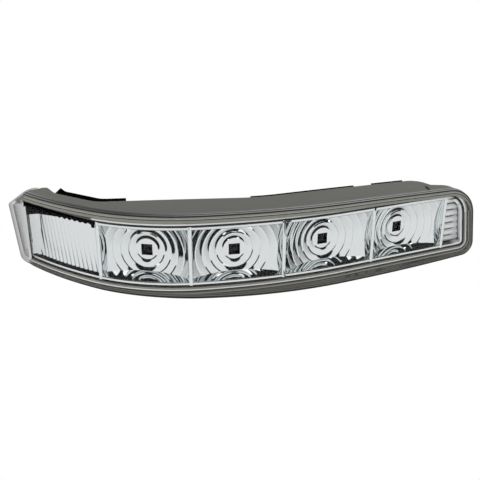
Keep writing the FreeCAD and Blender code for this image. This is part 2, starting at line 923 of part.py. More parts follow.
def ring_profile(reach):
    """Half section of a dish: stepped rings in front, a smooth round back."""
    points = [Vector(0, 0, 0)]
    radius = size("ring_start")
    height = 0.0
    while radius < reach:
        points.append(Vector(radius, height, 0))
        foot = radius + size("riser_width")
        points.append(Vector(foot, dish_height(foot) - size("riser_drop"), 0))
        radius += size("ring_pitch")
        height = dish_height(radius)
    points.append(Vector(radius, height, 0))
    centre = Vector(0, size("dish_radius"), 0)
    back_radius = size("dish_radius") + size("dish_wall")
    back_height = centre.y - math.sqrt(back_radius ** 2 - radius * radius)
    back_end = Vector(radius, back_height, 0)
    back_start = Vector(0, -size("dish_wall"), 0)
    front = [Run(start, end) for start, end in zip(points, points[1:])]
    back = Run(back_end, back_start, centre, "sizes.dish_radius + sizes.dish_wall")
    return front + [Run(points[-1], back_end), back]


def make_dish(cell):
    """One cell's dish, cut to the cell between its dividers and the window's edges."""
    index = NUMBERS.index(cell)
    left, right = divider_point(cell), divider_point(NUMBERS[index + 1])
    frame = cell_frame(cell)
    half = (right - left).Length / 2 + abs(size(f"cell_shift_{cell}"))
    reach = math.hypot(half, size("window_height") - AXIS) + size("divider_thickness")
    sketch = outline_sketch(f"dish_{cell}", ring_profile(reach))
    bowl = doc.addObject("Part::Revolution", f"bowl_{cell}")
    bowl.Source = sketch
    bowl.Axis = Vector(0, 1, 0)
    bowl.Base = Vector(0, 0, 0)
    bowl.Angle = 360
    bowl.Solid = True
    side = frame.Rotation.multVec(Vector(1, 0, 0))
    outward = frame.Rotation.multVec(Vector(0, 0, 1))
    floor = in_cell(cell, size("dish_depth")).Base
    bowl.Placement = Placement(floor, Rotation(side, outward, Vector(0, 0, -1), "XYZ"))
    doc.recompute()
    depth = size("dish_depth") + 2 * size("dish_wall")
    corners = [
        left,
        right,
        right + divider_inward(NUMBERS[index + 1]) * depth,
        left + divider_inward(cell) * depth,
    ]
    low = size("reflector_clearance")
    height = "sizes.window_height - 2 * sizes.reflector_clearance"
    return common(f"dish_{cell}_cut", bowl, plan_block(f"cell_{cell}", polygon(corners), low, height))


def make_divider(number):
    """One wall between cells, square to the face, from the front to the dish."""
    front = divider_point(number)
    inward = divider_inward(number)
    side = Vector(-inward.y, inward.x, 0) * (size("divider_thickness") / 2)
    back = front + inward * size("divider_depth")
    corners = [front - side, front + side, back + side, back - side]
    low = size("reflector_clearance")
    height = "sizes.window_height - 2 * sizes.reflector_clearance"
    return plan_block(f"divider_wall_{number}", polygon(corners), low, height)


def make_flutes():
    """Upright convex flutes on the left field, leaning to the left at the top."""
    inset = REFLECTOR_INSET + size("field_depth") + size("flute_radius") - size("flute_stand")
    step = math.degrees(size("flute_pitch") / (LEFT.radius - inset))
    heading = LEFT.heading_at(divider_point("one").x, inset)
    lean = Rotation(Vector(0, 1, 0), -size("flute_lean"))
    flutes = []
    while True:
        heading -= step
        centre = LEFT.point(heading, inset)
        if centre.x < size("window_left"):
            return flutes
        turned = Rotation(Vector(0, 0, 1), heading).multiply(lean)
        foot = Placement(centre + Vector(0, 0, AXIS), turned)
        start = foot.multiply(Placement(Vector(0, 0, -size("window_height")), Rotation()))
        name = f"flute_{len(flutes)}"
        flutes.append(cylinder(name, "2 * sizes.flute_radius", "2 * sizes.window_height", start))


def make_ribs():
    """Level half-round ribs on the right field."""
    inset = REFLECTOR_INSET + size("field_depth")
    start = face_point(size("divider_five"), inset)
    turn = Rotation(along(size("right_turn")), Vector(0, 0, 1), facing(size("right_turn")), "XYZ")
    lying = turn.multiply(Rotation(Vector(0, 1, 0), 90))
    ribs = []
    height = size("rib_pitch")
    while height < size("window_height") - size("rib_pitch") / 2:
        place = Placement(start + Vector(0, 0, height), lying)
        name = f"rib_{len(ribs)}"
        ribs.append(cylinder(name, "2 * sizes.rib_radius", "sizes.right_reach - sizes.divider_five", place))
        height += size("rib_pitch")
    return ribs


def make_reflector():
    """Bright moulding: border walls, four ringed dishes, dividers, fluted and ribbed fields."""
    clear = size("reflector_clearance")
    outline = window_front("reflector_front", clear)
    opening = window_front("reflector_opening", clear + size("reflector_wall"))
    walls_back = REFLECTOR_INSET + size("reflector_wall_depth")
    cells_back = REFLECTOR_INSET + size("cell_wall_depth")
    left = size("window_left")
    border_plan = band("border_plan", REFLECTOR_INSET, walls_back, left)
    cell_border = band("cell_border_plan", REFLECTOR_INSET, cells_back, size("divider_one"), size("cell_wall_end"))
    border = cut("border_front", outline, opening)
    walls = common("border_walls", fuse("border_plans", [border_plan, cell_border]), border)
    field_front = REFLECTOR_INSET + size("field_depth")
    field_back = field_front + size("field_wall")
    first = size("divider_one")
    last = size("divider_five")
    near = REFLECTOR_INSET + clear
    left_field = [band("left_field_plan", field_front, field_back, left, first)]
    flutes = common("flutes_cut", fuse("flutes", make_flutes()), band("flute_plan", near, field_back, left, first))
    ribs = common("ribs_cut", fuse("ribs", make_ribs()), band("rib_plan", near, field_back, last))
    fields = fuse("fields", left_field + [flutes, band("right_field_plan", field_front, field_back, last), ribs])
    left_parts = fuse("bordered_fields", [common("fields_cut", fields, outline), walls])
    high = size("window_height") + STOCK_MARGIN
    edge = first - size("divider_thickness") / 2
    slope = polygon(
        [
            Vector(left - STOCK_MARGIN, size("window_height") - size("field_slope"), 0),
            Vector(edge, size("window_height") - clear, 0),
            Vector(edge, high, 0),
            Vector(left - STOCK_MARGIN, high, 0),
        ]
    )
    trimmed = cut("fields_trimmed", left_parts, front_block("field_slope_front", slope))
    solids = [trimmed]
    solids += [make_dish(cell) for cell in CELLS]
    solids += [make_divider(number) for number in NUMBERS]
    solids += [stake for cell in CELLS for stake in make_stakes(cell)]
    blank = fuse("reflector_blank", solids)
    windows = []
    for cell in CELLS:
        deep = "4 * sizes.dish_wall"
        start = in_cell(cell, size("dish_depth") + 2 * size("dish_wall"))
        windows.append(box(f"led_hole_{cell}", ("sizes.led_window", "sizes.led_window", deep), start))
    return cut("reflector", blank, fuse("led_holes", windows))


# Circuit strip

BOARD_DEPTH = size("dish_depth") + size("dish_wall") + size("board_gap")
STRIP_BACK = BOARD_DEPTH + size("flex_thickness")
SPREADER_BACK = STRIP_BACK + size("spreader_thickness")


def make_stakes(cell):
    """Two posts behind a dish whose melted heads hold the strip and its heat spreader."""
    stakes = []
    for number, x in enumerate((-size("stake_spacing") / 2, size("stake_spacing") / 2)):
        root = size("dish_depth") + size("dish_wall") / 2 - dish_height(abs(x))
        head_front = in_cell(cell, SPREADER_BACK + size("stake_head_height"), x)
        shaft = cylinder(f"stake_{cell}_{number}", "sizes.stake_diameter", "sizes.boss_length", head_front)
        shaft.setExpression("Height", None)
        shaft.Height = SPREADER_BACK + size("stake_head_height") - root
        head = cylinder(f"stake_head_{cell}_{number}", "sizes.stake_head_diameter", "sizes.stake_head_height", head_front)
        stakes += [shaft, head]
    return stakes


def stake_holes(name, cells):
    holes = []
    rule = "sizes.stake_diameter + 2 * sizes.hole_clearance"
    for cell in cells:
        for number, x in enumerate((-size("stake_spacing") / 2, size("stake_spacing") / 2)):
            start = in_cell(cell, SPREADER_BACK + size("spreader_thickness"), x)
            holes.append(cylinder(f"{name}_{cell}_{number}", rule, "4 * sizes.spreader_thickness", start))
    return fuse(name, holes)


def strip_points(depth):
    """Corners of the line that runs behind the cells at a depth from their fronts."""
    lines = []
    for cell in CELLS:
        place = in_cell(cell, depth)
        flat = Vector(place.Base.x, place.Base.y, 0)
        lines.append((flat, place.Rotation.multVec(Vector(1, 0, 0))))
    points = [lines[0][0] - lines[0][1] * size("flex_overhang")]
    for (point_a, side_a), (point_b, side_b) in zip(lines, lines[1:]):
        points.append(crossing(point_a, side_a, point_b, side_b))
    points.append(lines[-1][0] + lines[-1][1] * size("flex_overhang"))
    return points


def make_flex_circuit():
    thickness = size("flex_thickness")
    bend = size("flex_bend_radius")
    front = corner_runs(strip_points(BOARD_DEPTH), [bend + thickness] * 3)
    back = corner_runs(strip_points(STRIP_BACK), [bend] * 3)
    low = AXIS - size("flex_height") / 2
    strip = plan_block("strip", front + reversed_runs(back), low, "sizes.flex_height")
    return cut("flex_circuit", strip, stake_holes("strip_holes", CELLS))


def make_heat_spreader(cell):
    rules = ("sizes.spreader_length", "sizes.flex_height", "sizes.spreader_thickness")
    plate = box(f"plate_{cell}", rules, in_cell(cell, SPREADER_BACK))
    return cut(f"heat_spreader_{cell}", plate, stake_holes(f"spreader_holes_{cell}", [cell]))


def make_led(cell):
    body = box(f"led_body_{cell}", ("sizes.led_side", "sizes.led_side", "sizes.led_height"), in_cell(cell, BOARD_DEPTH))
    dome = doc.addObject("Part::Sphere", f"led_dome_{cell}")
    dome.setExpression("Radius", "sizes.led_dome_radius")
    dome.Placement = in_cell(cell, BOARD_DEPTH - size("led_height"))
    doc.recompute()
    return fuse(f"led_{cell}", [body, dome])


def make_resistors():
    resistors = []
    rules = ("sizes.resistor_length", "sizes.resistor_width", "sizes.resistor_height")
    for cell in CELLS:
        for side in (-1, 1):
            x = side * size("resistor_spacing") / 2
            place = in_cell(cell, BOARD_DEPTH, x, size("resistor_rise"))
            resistors.append(box(f"resistor_{cell}_{side + 1}", rules, place))
    return group("ballast_resistors", resistors)


# Driver board


def driver_front():
    """How far back the driver board's front lies: a standoff behind the strip's first bend."""
    return strip_points(STRIP_BACK)[1].y + size("driver_standoff")


def on_driver(place, rise, depth):
    """A placement on the driver board, a depth behind its front, looking rearwards."""
    return looking_back(size("driver_place") + place, driver_front() + depth, AXIS + rise)


def make_driver_board():
    rules = ("sizes.driver_length", "sizes.driver_height", "sizes.driver_thickness")
    board = box("board_blank", rules, on_driver(0, 0, 0))
    holes = []
    for number, (u, z) in enumerate(post_places()):
        rule = "sizes.board_screw_diameter + 2 * sizes.hole_clearance"
        start = looking_back(u, driver_front(), z)
        holes.append(cylinder(f"board_hole_{number}", rule, "sizes.driver_thickness", start))
    side = "sizes.pin_side"
    for number, u in enumerate(pin_places()):
        start = looking_back(u, driver_front(), AXIS)
        holes.append(box(f"board_pin_hole_{number}", (side, side, "sizes.driver_thickness"), start))
    return cut("driver_board", board, fuse("board_holes", holes))


def make_driver_parts():
    back = size("driver_thickness")
    chip_rules = ("sizes.chip_length", "sizes.chip_width", "sizes.chip_height")
    chip = box("driver_chip", chip_rules, on_driver(size("chip_place"), 0, back))
    place = on_driver(size("capacitor_place"), size("capacitor_rise"), back)
    can = cylinder("input_capacitor", "sizes.capacitor_diameter", "sizes.capacitor_height", place)
    diode_rules = ("sizes.diode_length", "sizes.diode_width", "sizes.diode_height")
    diode = box("protection_diode", diode_rules, on_driver(size("diode_place"), size("diode_rise"), back))
    return [chip, can, diode]


def make_board_screws():
    screws = []
    for number, (u, z) in enumerate(post_places()):
        head_front = driver_front() - size("board_screw_head_height")
        head = cylinder(
            f"screw_head_{number}", "sizes.board_screw_head", "sizes.board_screw_head_height",
            looking_back(u, head_front, z),
        )
        shank = cylinder(
            f"screw_shank_{number}", "sizes.board_screw_diameter", "sizes.board_screw_length",
            looking_back(u, driver_front() - size("board_screw_head_height") / 2, z),
        )
        screws.append(fuse(f"screw_{number}", [head, shank]))
    return group("board_screws", screws)


def make_link_header():
    """Three pins in a block, from the strip's first bend to the driver board."""
    radius = size("flex_bend_radius")
    centre = corner_runs(strip_points(STRIP_BACK), [radius] * 3)[1].centre
    u = centre.x
    body_front = driver_front() - size("link_body_height")
    width = "4 * sizes.link_pin_pitch"
    body_rules = (width, "2 * sizes.link_pin_pitch", "sizes.link_body_height")
    pieces = [box("link_body", body_rules, looking_back(u, body_front, AXIS))]
    for step in (-1, 0, 1):
        edge = abs(step) * size("link_pin_pitch") + size("pin_side") / 2
        start = centre.y - math.sqrt(radius * radius - edge * edge)
        place = looking_back(u + step * size("link_pin_pitch"), start, AXIS)
        pin = box(f"link_pin_{step + 1}", ("sizes.pin_side", "sizes.pin_side", "sizes.driver_standoff"), place)
        pin.setExpression("Height", None)
        pin.Height = driver_front() - start
        pieces.append(pin)
    return fuse("link_header", pieces)


def make_terminal_pins():
    """Three square pins from the driver board, through the back wall, into the collar."""
    start = driver_front() - size("pin_tail")
    end = wall_point(size("collar_place")).y + size("pin_reach")
    pins = []
    for number, u in enumerate(pin_places()):
        rules = ("sizes.pin_side", "sizes.pin_side", "sizes.pin_reach")
        pin = box(f"terminal_{number}", rules, looking_back(u, start, AXIS))
        pin.setExpression("Height", None)
        pin.Height = end - start
        pins.append(pin)
    return group("terminal_pins", pins)


def make_vent_membrane():
    vent = wall_point(size("vent_place"))
    wall_turn = size("middle_wall_turn")
    outward = Rotation(along(wall_turn), Vector(0, 0, -1), facing(wall_turn) * -1, "XYZ")
    place = Placement(vent + Vector(0, 0, AXIS), outward)
    return cylinder("vent_membrane", "sizes.vent_disc_diameter", "sizes.vent_disc_thickness", place)


def make_foam(name, side):
    """A foam strip on the back wall between two places, as thick as its side's size says."""
    thickness = size(f"foam_{side}_thickness")
    outer = plan_block(f"foam_{name}_outer", body_runs(-thickness, FLANGE_BACK))
    inner = plan_block(f"foam_{name}_inner", body_runs(0, FLANGE_BACK))
    ring = cut(f"foam_{name}_ring", outer, inner)
    shaped = common(f"foam_{name}_shaped", ring,
                    lamp_front(f"foam_{name}_front", size("housing_inset") + size("foam_top_margin")))
    start, end = size(f"foam_{name}_start"), size(f"foam_{name}_end")
    low = size("lens_crown") - size("housing_inset") - size("foam_height")
    limits = slab(f"foam_{name}_limits", start, end, low, "sizes.lens_crown")
    return common(f"foam_{name}", shaped, limits)


# Assembly


def build():
    driver_back = driver_front() + size("driver_thickness")
    pieces = {
        "lens": make_lens(),
        "housing": make_housing(driver_back),
        "reflector": make_reflector(),
        "flex_circuit": make_flex_circuit(),
        "ballast_resistors": make_resistors(),
        "driver_board": make_driver_board(),
        "link_header": make_link_header(),
        "terminal_pins": make_terminal_pins(),
        "board_screws": make_board_screws(),
        "vent_membrane": make_vent_membrane(),
        "foam_left": make_foam("left", "left"),
        "foam_middle": make_foam("middle", "right"),
        "foam_right": make_foam("right", "right"),
    }
    for number, cell in enumerate(CELLS, start=1):
        pieces[f"heat_spreader_{number}"] = make_heat_spreader(cell)
        pieces[f"led_{number}"] = make_led(cell)
    for item in make_driver_parts():
        pieces[item.Name] = item
    return pieces


def place_and_check(pieces):
    """Moves every piece so that the centre boss's mouth is the origin, and checks the model."""
    to_origin = Placement(boss_mouth("centre") * -1, Rotation())
    for name, item in pieces.items():
        item.Label = name
        item.Placement = to_origin.multiply(item.Placement)
    doc.recompute()
    for item in doc.Objects:
        if "Invalid" in item.State or "Error" in item.State:
            raise RuntimeError(f"{item.Label} failed: {item.State}")
    for name, item in pieces.items():
        if item.Shape.isNull() or not item.Shape.isValid() or item.Shape.Volume <= 0:
            raise RuntimeError(f"{name} has no valid solid")


def export(pieces):
    os.makedirs("parts", exist_ok=True)
    for name, item in sorted(pieces.items()):
        item.Shape.exportStep(f"parts/{name}.step")
        print(f"{name}: {len(item.Shape.Solids)} solids, {item.Shape.Volume / 1000:.3f} cm3")


PIECES = build()
place_and_check(PIECES)
export(PIECES)
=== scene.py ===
import json
import math

import bmesh
import bpy
from mathutils import Matrix, Vector


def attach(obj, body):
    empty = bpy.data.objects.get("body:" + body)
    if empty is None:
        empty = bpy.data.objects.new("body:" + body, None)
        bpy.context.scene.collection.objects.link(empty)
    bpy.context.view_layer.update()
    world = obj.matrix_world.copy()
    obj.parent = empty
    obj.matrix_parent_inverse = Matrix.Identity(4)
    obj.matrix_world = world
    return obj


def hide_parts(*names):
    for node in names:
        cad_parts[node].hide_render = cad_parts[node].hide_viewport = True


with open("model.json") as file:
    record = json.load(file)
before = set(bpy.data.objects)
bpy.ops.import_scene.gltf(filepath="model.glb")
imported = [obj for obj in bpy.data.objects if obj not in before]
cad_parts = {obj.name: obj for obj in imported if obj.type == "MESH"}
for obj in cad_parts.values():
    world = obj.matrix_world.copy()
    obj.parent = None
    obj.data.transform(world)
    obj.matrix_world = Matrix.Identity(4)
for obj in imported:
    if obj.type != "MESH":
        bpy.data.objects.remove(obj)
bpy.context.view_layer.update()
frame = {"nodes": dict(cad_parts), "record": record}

# Sizes below are millimetres in the drawing's frame, and angles are degrees.
MM = 0.001
# Height of the axis that the four cells share
AXIS = 10.2
# Mouth of the centre screw boss in the drawing's frame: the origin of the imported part
ORIGIN = Vector((21.6, 38.4188214519876, AXIS))

# Lens face seen from above: the radii of its four arcs and the headings where they meet
CROWN_RADIUS = 70.0
RIGHT_RADIUS = 213.0
LEFT_RADIUS = 169.0
WRAP_RADIUS = 12.0
CROWN_TURN = 9.0
RIGHT_TURN = 25.7
LEFT_TURN = -28.9
WRAP_TURN = -43.5
WRAP_END = -130.0

# Lamp's outline seen from the front
CROWN_HEIGHT = 28.0
CROWN_PLACE = -9.0
TOP_RADIUS = 5000.0
BELLY_DROP = 7.25
BELLY_PLACE = 80.0
BELLY_LEFT_RADIUS = 1600.0
BELLY_RIGHT_RADIUS = 890.0
HIP_DROP = 4.75
HIP_RADIUS = 600.0
RIGHT_REACH = 133.4
RIGHT_LEAN = 8.0
UPPER_END_CORNER = 14.0
LOWER_END_CORNER = 5.5
# Directions at which the end corners meet the lower and the upper outline
LOWER_MEETING = -87.0
UPPER_MEETING = 88.6
OUTLINE_STEPS = 160
CORNER_STEPS = 16
# Rounds in which a corner's place is brought onto its outline
CORNER_PASSES = 12

# Lit window
WINDOW_HEIGHT = 24.1
WINDOW_LEFT = -63.8
SIDE_BORDER = 6.0
UPPER_CORNER = 10.0
LOWER_CORNER = 2.0
WINDOW_STEPS = 220

# Border of the reflector, and the walls between its cells
REFLECTOR_INSET = 2.5
CLEAR = 0.2
BORDER_WALL = 1.4
BORDER_BACK = 8.2
CELL_BACK = 13.3
CELL_END = 110.0
DIVIDERS = (-29.0, 6.8, 42.9, 80.9, 115.5)
DIVIDER_THICKNESS = 1.7
DIVIDER_DEPTH = 6.4
# Radius of the rounded front edges
FRONT_EDGE = 0.45
EDGE_STEPS = 6

# Dishes with their rings and LED windows
CELL_SHIFTS = (-2.0, 0.6, 2.0, 1.0)
DISH_RADIUS = 34.0
DISH_DEPTH = 9.5
DISH_WALL = 1.8
RING_START = 4.1
RING_PITCH = 3.0
RISER_WIDTH = 0.5
RISER_DROP = 0.45
# How far the middle of a ring stands above the straight line between its edges
BEAD_RISE = 0.085
# The rings grow shallower outwards, as if to vanish at this radius, but keep a least share.
RING_FADE = 27.0
RING_LEAST = 0.2
LED_WINDOW = 4.6
# Steps round a whole ring, and across one ring
AROUND = 288
FACET_STEPS = 6
# The dish's back starts at this many times half the LED window.
BACK_START = 1.5
BACK_STEPS = 11

# Fluted field on the left
FIELD_INSET = 5.5
FLUTE_RADIUS = 1.6
FLUTE_PITCH = 2.4
FLUTE_LEAN = 9.0
FLUTE_STAND = 0.7
# Share of their full depth that the flutes keep at the top, and how quickly they lose the rest
FLUTE_TOP = 0.05
FLUTE_FADE = 4
# Where the field starts to come forward to the left end of the window
FIELD_BEND = -58.0
# Just behind the clear cover
LENS_BACK = 2.05
# Height of the field's top at its right end, and how far it falls away to the left
FIELD_TOP = 23.5
FIELD_FALL = 4.4
FIELD_OVERHANG = 0.6
FIELD_START = WINDOW_LEFT + 0.03
FLUTE_COLUMNS = 700
FLUTE_LEVELS = 24

# Ribbed field on the right
RIB_PITCH = 3.0
RIB_RADIUS = 1.0
# Share of a half round that stands out of the field
RIB_SHARE = 0.5
RIB_MARGIN = 0.5
RIB_COLUMNS = 60
RIB_LEVELS = 240
# Painted shade in the grooves between the ribs: half their height, and where they start to fade and end
GROOVE_HALF = 0.42
GROOVE_FADE = 120.5
GROOVE_END = 123.5

# Thin covers on the stepped flange, painted with highlights and shade along its steps: where they start,
# and how deep they lie. Pairs in the tables are insets from the outline and from the lens face.
RIBBON_START = -64.9
LEDGE_FACE = 1.98
STEP_FACE = 3.18
STEP_WALL = 1.08
OUTER_WALL = -0.01
FLANGE_HIGHLIGHT_FACES = (
    ((1.1, STEP_FACE), (0.6, STEP_FACE)),
    ((STEP_WALL, 2.0), (STEP_WALL, 3.2)),
)
FLANGE_LIT_FACES = (((2.5, LEDGE_FACE), (1.4, LEDGE_FACE)),)
OUTER_FACES = (
    ((OUTER_WALL, 3.2), (OUTER_WALL, 4.2)),
    ((OUTER_WALL, 5.2), (OUTER_WALL, 6.2)),
)
FLANGE_SHADE_FACES = (
    ((0.6, STEP_FACE), (0.0, STEP_FACE)),
    ((1.4, LEDGE_FACE), (1.1, LEDGE_FACE)),
    ((OUTER_WALL, 4.2), (OUTER_WALL, 5.2)),
)
# Painted light and shade on the outer faces, grey going with the place along the lamp: places along the
# lamp and levels
OUTER_LIGHT_AND_SHADE = ((-62.0, 0.24), (-42.0, 0.1), (-18.0, 0.06), (14.0, 0.26), (60.0, 0.34))

# Thin covers on the housing's land, just inside the lens, with painted highlights and painted shade
# along the lit window: how deep they lie. Pairs are distances outwards from the lit window.
LAND_COVER = 1.985
UPPER_SHADE = ((0.0, 0.5),)
UPPER_HIGHLIGHT = ((0.55, 1.1),)
UPPER_LIT = ((1.1, 1.7),)
LOWER_SHADE = ((0.0, 0.3), (1.55, 2.1), (3.1, 3.45))
LOWER_LIT = ((0.3, 1.1), (2.6, 3.1))
LOWER_HIGHLIGHT = ((1.1, 1.55),)

# Painted shadow: black strip over the fluted field, where the gap under the top rim lies in shade: its
# ends, its height over the window's top at each end, how far it hangs below, its teeth, and the width
# and drop of the block at its right end
SHADE_START = RIBBON_START
SHADE_END = -31.2
SHADE_RISE_LEFT = 1.5
SHADE_RISE_RIGHT = 0.3
SHADE_DROP = 0.8
SHADE_TOOTH = 0.8
SHADE_BLOCK = (1.5, 2.6)
SHADE_COLUMNS = 280

# Painted shade in the LED windows: black frames on the circuit round the LEDs
BOARD_GAP = 1.0
LED_SIDE = 3.4
SHADE_FRAME_SIDE = 6.4
SHADE_FRAME_RISE = 0.05


def facing(heading):
    """Direction that the lens faces at a heading."""
    angle = math.radians(heading)
    return Vector((math.sin(angle), -math.cos(angle), 0))


def joined_arc(arc, radius, joint, start, end):
    """An arc that goes on smoothly from another at a heading."""
    centre = arc[0] + facing(joint) * (arc[1] - radius)
    return (centre, radius, start, end)


# Arcs of the lens face as centre, radius, first heading, last heading
CROWN = (Vector((0, CROWN_RADIUS, 0)), CROWN_RADIUS, LEFT_TURN, CROWN_TURN)
RIGHT = joined_arc(CROWN, RIGHT_RADIUS, CROWN_TURN, CROWN_TURN, RIGHT_TURN)
LEFT = joined_arc(CROWN, LEFT_RADIUS, LEFT_TURN, WRAP_TURN, LEFT_TURN)
WRAP = joined_arc(LEFT, WRAP_RADIUS, WRAP_TURN, WRAP_END, WRAP_TURN)


def on_arc(arc, heading, inset):
    """Point of an arc at a heading, moved inwards."""
    return arc[0] + facing(heading) * (arc[1] - inset)


def heading_at(arc, u, inset):
    """Heading at which an arc, moved inwards, passes a place along the lamp."""
    ratio = (u - arc[0].x) / (arc[1] - inset)
    return math.degrees(math.asin(max(-1.0, min(1.0, ratio))))


def face_point(u, inset):
    """Point of the lens face, moved inwards, at a place along the lamp."""
    straight = on_arc(RIGHT, RIGHT_TURN, inset)
    if u > straight.x:
        return Vector((u, straight.y + (u - straight.x) * math.tan(math.radians(RIGHT_TURN)), 0))
    for arc in (RIGHT, CROWN, LEFT):
        if u >= on_arc(arc, arc[2], inset).x:
            return on_arc(arc, heading_at(arc, u, inset), inset)
    return on_arc(WRAP, heading_at(WRAP, u, inset), inset)


def raised(u, inset, z):
    """Point at a height, behind the lens face by an inset."""
    point = face_point(u, inset)
    return Vector((point.x, point.y, z))


def lifted(pair, inset):
    """Point behind the lens face for a place and a height seen from the front."""
    return raised(pair.x, inset, pair.y)


# Mesh building

# Points closer than this to a cutting plane count as lying on it.
CUT_DISTANCE = 1e-6


class Skin:
    """A mesh under construction, in the drawing's frame. Each strip keeps its own corners, so
    that it is smooth along itself and sharp against the next."""

    def __init__(self):
        self.mesh = bmesh.new()

    def grid(self, rows, around=False):
        """Faces between rows of points; around closes each row on itself."""
        made = [[self.mesh.verts.new(point) for point in row] for row in rows]
        for upper, lower in zip(made, made[1:]):
            steps = len(upper) if around else len(upper) - 1
            for step in range(steps):
                after = (step + 1) % len(upper)
                self.mesh.faces.new((upper[step], upper[after], lower[after], lower[step]))

    def cut(self, point, normal):
        """Removes everything on the side that the normal points to."""
        geometry = self.mesh.verts[:] + self.mesh.edges[:] + self.mesh.faces[:]
        bmesh.ops.bisect_plane(
            self.mesh,
            geom=geometry,
            dist=CUT_DISTANCE,
            plane_co=point,
            plane_no=normal,
            clear_outer=True,
        )

    def add(self, other):
        """Takes in another mesh."""
        scratch = bpy.data.meshes.new("scratch")
        other.mesh.to_mesh(scratch)
        other.mesh.free()
        self.mesh.from_mesh(scratch)
        bpy.data.meshes.remove(scratch)

    def finish(self, name, material, slot, replaced=()):
        matrix = Matrix.Scale(MM, 4) @ Matrix.Translation(-ORIGIN)
        bmesh.ops.transform(self.mesh, matrix=matrix, verts=self.mesh.verts)
        data = bpy.data.meshes.new(name)
        self.mesh.to_mesh(data)
        self.mesh.free()
        data.materials.append(material)
        for face in data.polygons:
            face.use_smooth = True
        piece = bpy.data.objects.new(name, data)
        bpy.context.scene.collection.objects.link(piece)
        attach(piece, "root")
        if replaced:
            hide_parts(*replaced)
        return piece


def quarter_turn():
    """Cosine and sine along a quarter circle, for rounded front edges."""
    angles = [math.radians(90 * step / EDGE_STEPS) for step in range(EDGE_STEPS + 1)]
    return [(math.cos(angle), math.sin(angle)) for angle in angles]


# Cells


def divider_point(number):
    """Front of a wall between cells, seen from above."""
    return face_point(DIVIDERS[number], REFLECTOR_INSET)


def cell_frame(cell):
    """Matrix of a cell's front: own x along the cell, own y up, own z out towards the lens."""
    left, right = divider_point(cell), divider_point(cell + 1)
    side = (right - left).normalized()
    outward = Vector((side.y, -side.x, 0))
    centre = (left + right) / 2 + side * CELL_SHIFTS[cell] + Vector((0, 0, AXIS))
    turn = Matrix((side, Vector((0, 0, 1)), outward)).transposed().to_4x4()
    return Matrix.Translation(centre) @ turn


def dish_frame(cell):
    """Matrix of the lowest point of a cell's dish."""
    return cell_frame(cell) @ Matrix.Translation((0, 0, -DISH_DEPTH))


def divider_inward(number):
    """Direction rearwards at a divider: square to the two cells that meet there."""
    total = Vector((0, 0, 0))
    for cell in range(max(0, number - 1), min(len(CELL_SHIFTS), number + 1)):
        total -= cell_frame(cell).to_3x3() @ Vector((0, 0, 1))
    return total.normalized()


def dish_height(radius):
    """Height of the plain dish above its lowest point."""
    return DISH_RADIUS - math.sqrt(DISH_RADIUS ** 2 - radius * radius)


def row_round(place, reach, height):
    """Points round the dish's axis; reach gives the distance from it at an angle."""
    row = []
    for step in range(AROUND):
        angle = 2 * math.pi * step / AROUND
        distance = reach(angle)
        row.append(place @ Vector((distance * math.cos(angle), distance * math.sin(angle), height)))
    return row


def circle_row(place, radius, height):
    return row_round(place, lambda angle: radius, height)


def square_row(place, half, height):
    return row_round(place, lambda angle: half / max(abs(math.cos(angle)), abs(math.sin(angle))), height)


def ring_rows(place, radius, fade):
    """One ring from its foot to its crest, rounded like a bead."""
    foot, crest = radius + RISER_WIDTH, radius + RING_PITCH
    foot_height = dish_height(foot) - RISER_DROP * fade
    rise = dish_height(crest) - foot_height
    rows = []
    for step in range(FACET_STEPS + 1):
        share = step / FACET_STEPS
        bead = 4 * BEAD_RISE * fade * share * (1 - share)
        rows.append(circle_row(place, foot + (crest - foot) * share, foot_height + rise * share + bead))
    return rows


def ringed_dish(cell):
    """Front and back of one dish, cut to its cell."""
    skin = Skin()
    place = dish_frame(cell)
    left, right = divider_point(cell), divider_point(cell + 1)
    half = (right - left).length / 2 + abs(CELL_SHIFTS[cell])
    reach = math.hypot(half, WINDOW_HEIGHT - AXIS) + DIVIDER_THICKNESS
    window = LED_WINDOW / 2
    skin.grid([square_row(place, window, 0), circle_row(place, RING_START, 0)], around=True)
    skin.grid([square_row(place, window, 0), square_row(place, window, -DISH_WALL)], around=True)
    radius, height = RING_START, 0.0
    while radius < reach:
        ring = ring_rows(place, radius, max(RING_LEAST, 1 - radius / RING_FADE))
        skin.grid([circle_row(place, radius, height), ring[0]], around=True)
        skin.grid(ring, around=True)
        radius += RING_PITCH
        height = dish_height(radius)
    back = []
    start = window * BACK_START
    for step in range(BACK_STEPS + 1):
        distance = start + (radius - start) * step / BACK_STEPS
        back_height = DISH_RADIUS - math.sqrt((DISH_RADIUS + DISH_WALL) ** 2 - distance * distance)
        back.append(circle_row(place, distance, back_height))
    skin.grid(back, around=True)
    skin.grid([square_row(place, window, -DISH_WALL), back[0]], around=True)
    for number, sign in ((cell, -1), (cell + 1, 1)):
        inward = divider_inward(number)
        skin.cut(divider_point(number), Vector((inward.y, -inward.x, 0)) * sign)
    skin.cut(Vector((0, 0, WINDOW_HEIGHT - CLEAR)), Vector((0, 0, 1)))
    skin.cut(Vector((0, 0, CLEAR)), Vector((0, 0, -1)))
    return skin


def plate(number):
    """One wall between cells, with a rounded front edge."""
    skin = Skin()
    front = divider_point(number)
    inward = divider_inward(number)
    side = Vector((-inward.y, inward.x, 0))
    half = DIVIDER_THICKNESS / 2
    profile = [front + inward * DIVIDER_DEPTH - side * half]
    for sign, turn in ((-1, quarter_turn()), (1, quarter_turn()[::-1])):
        for cosine, sine in turn:
            across = side * sign * (half - FRONT_EDGE + FRONT_EDGE * cosine)
            profile.append(front + across + inward * FRONT_EDGE * (1 - sine))
    profile.append(front + inward * DIVIDER_DEPTH + side * half)
    levels = (CLEAR, WINDOW_HEIGHT - CLEAR)
    skin.grid([[point + Vector((0, 0, level)) for point in profile] for level in levels])
    return skin


# Border and fields


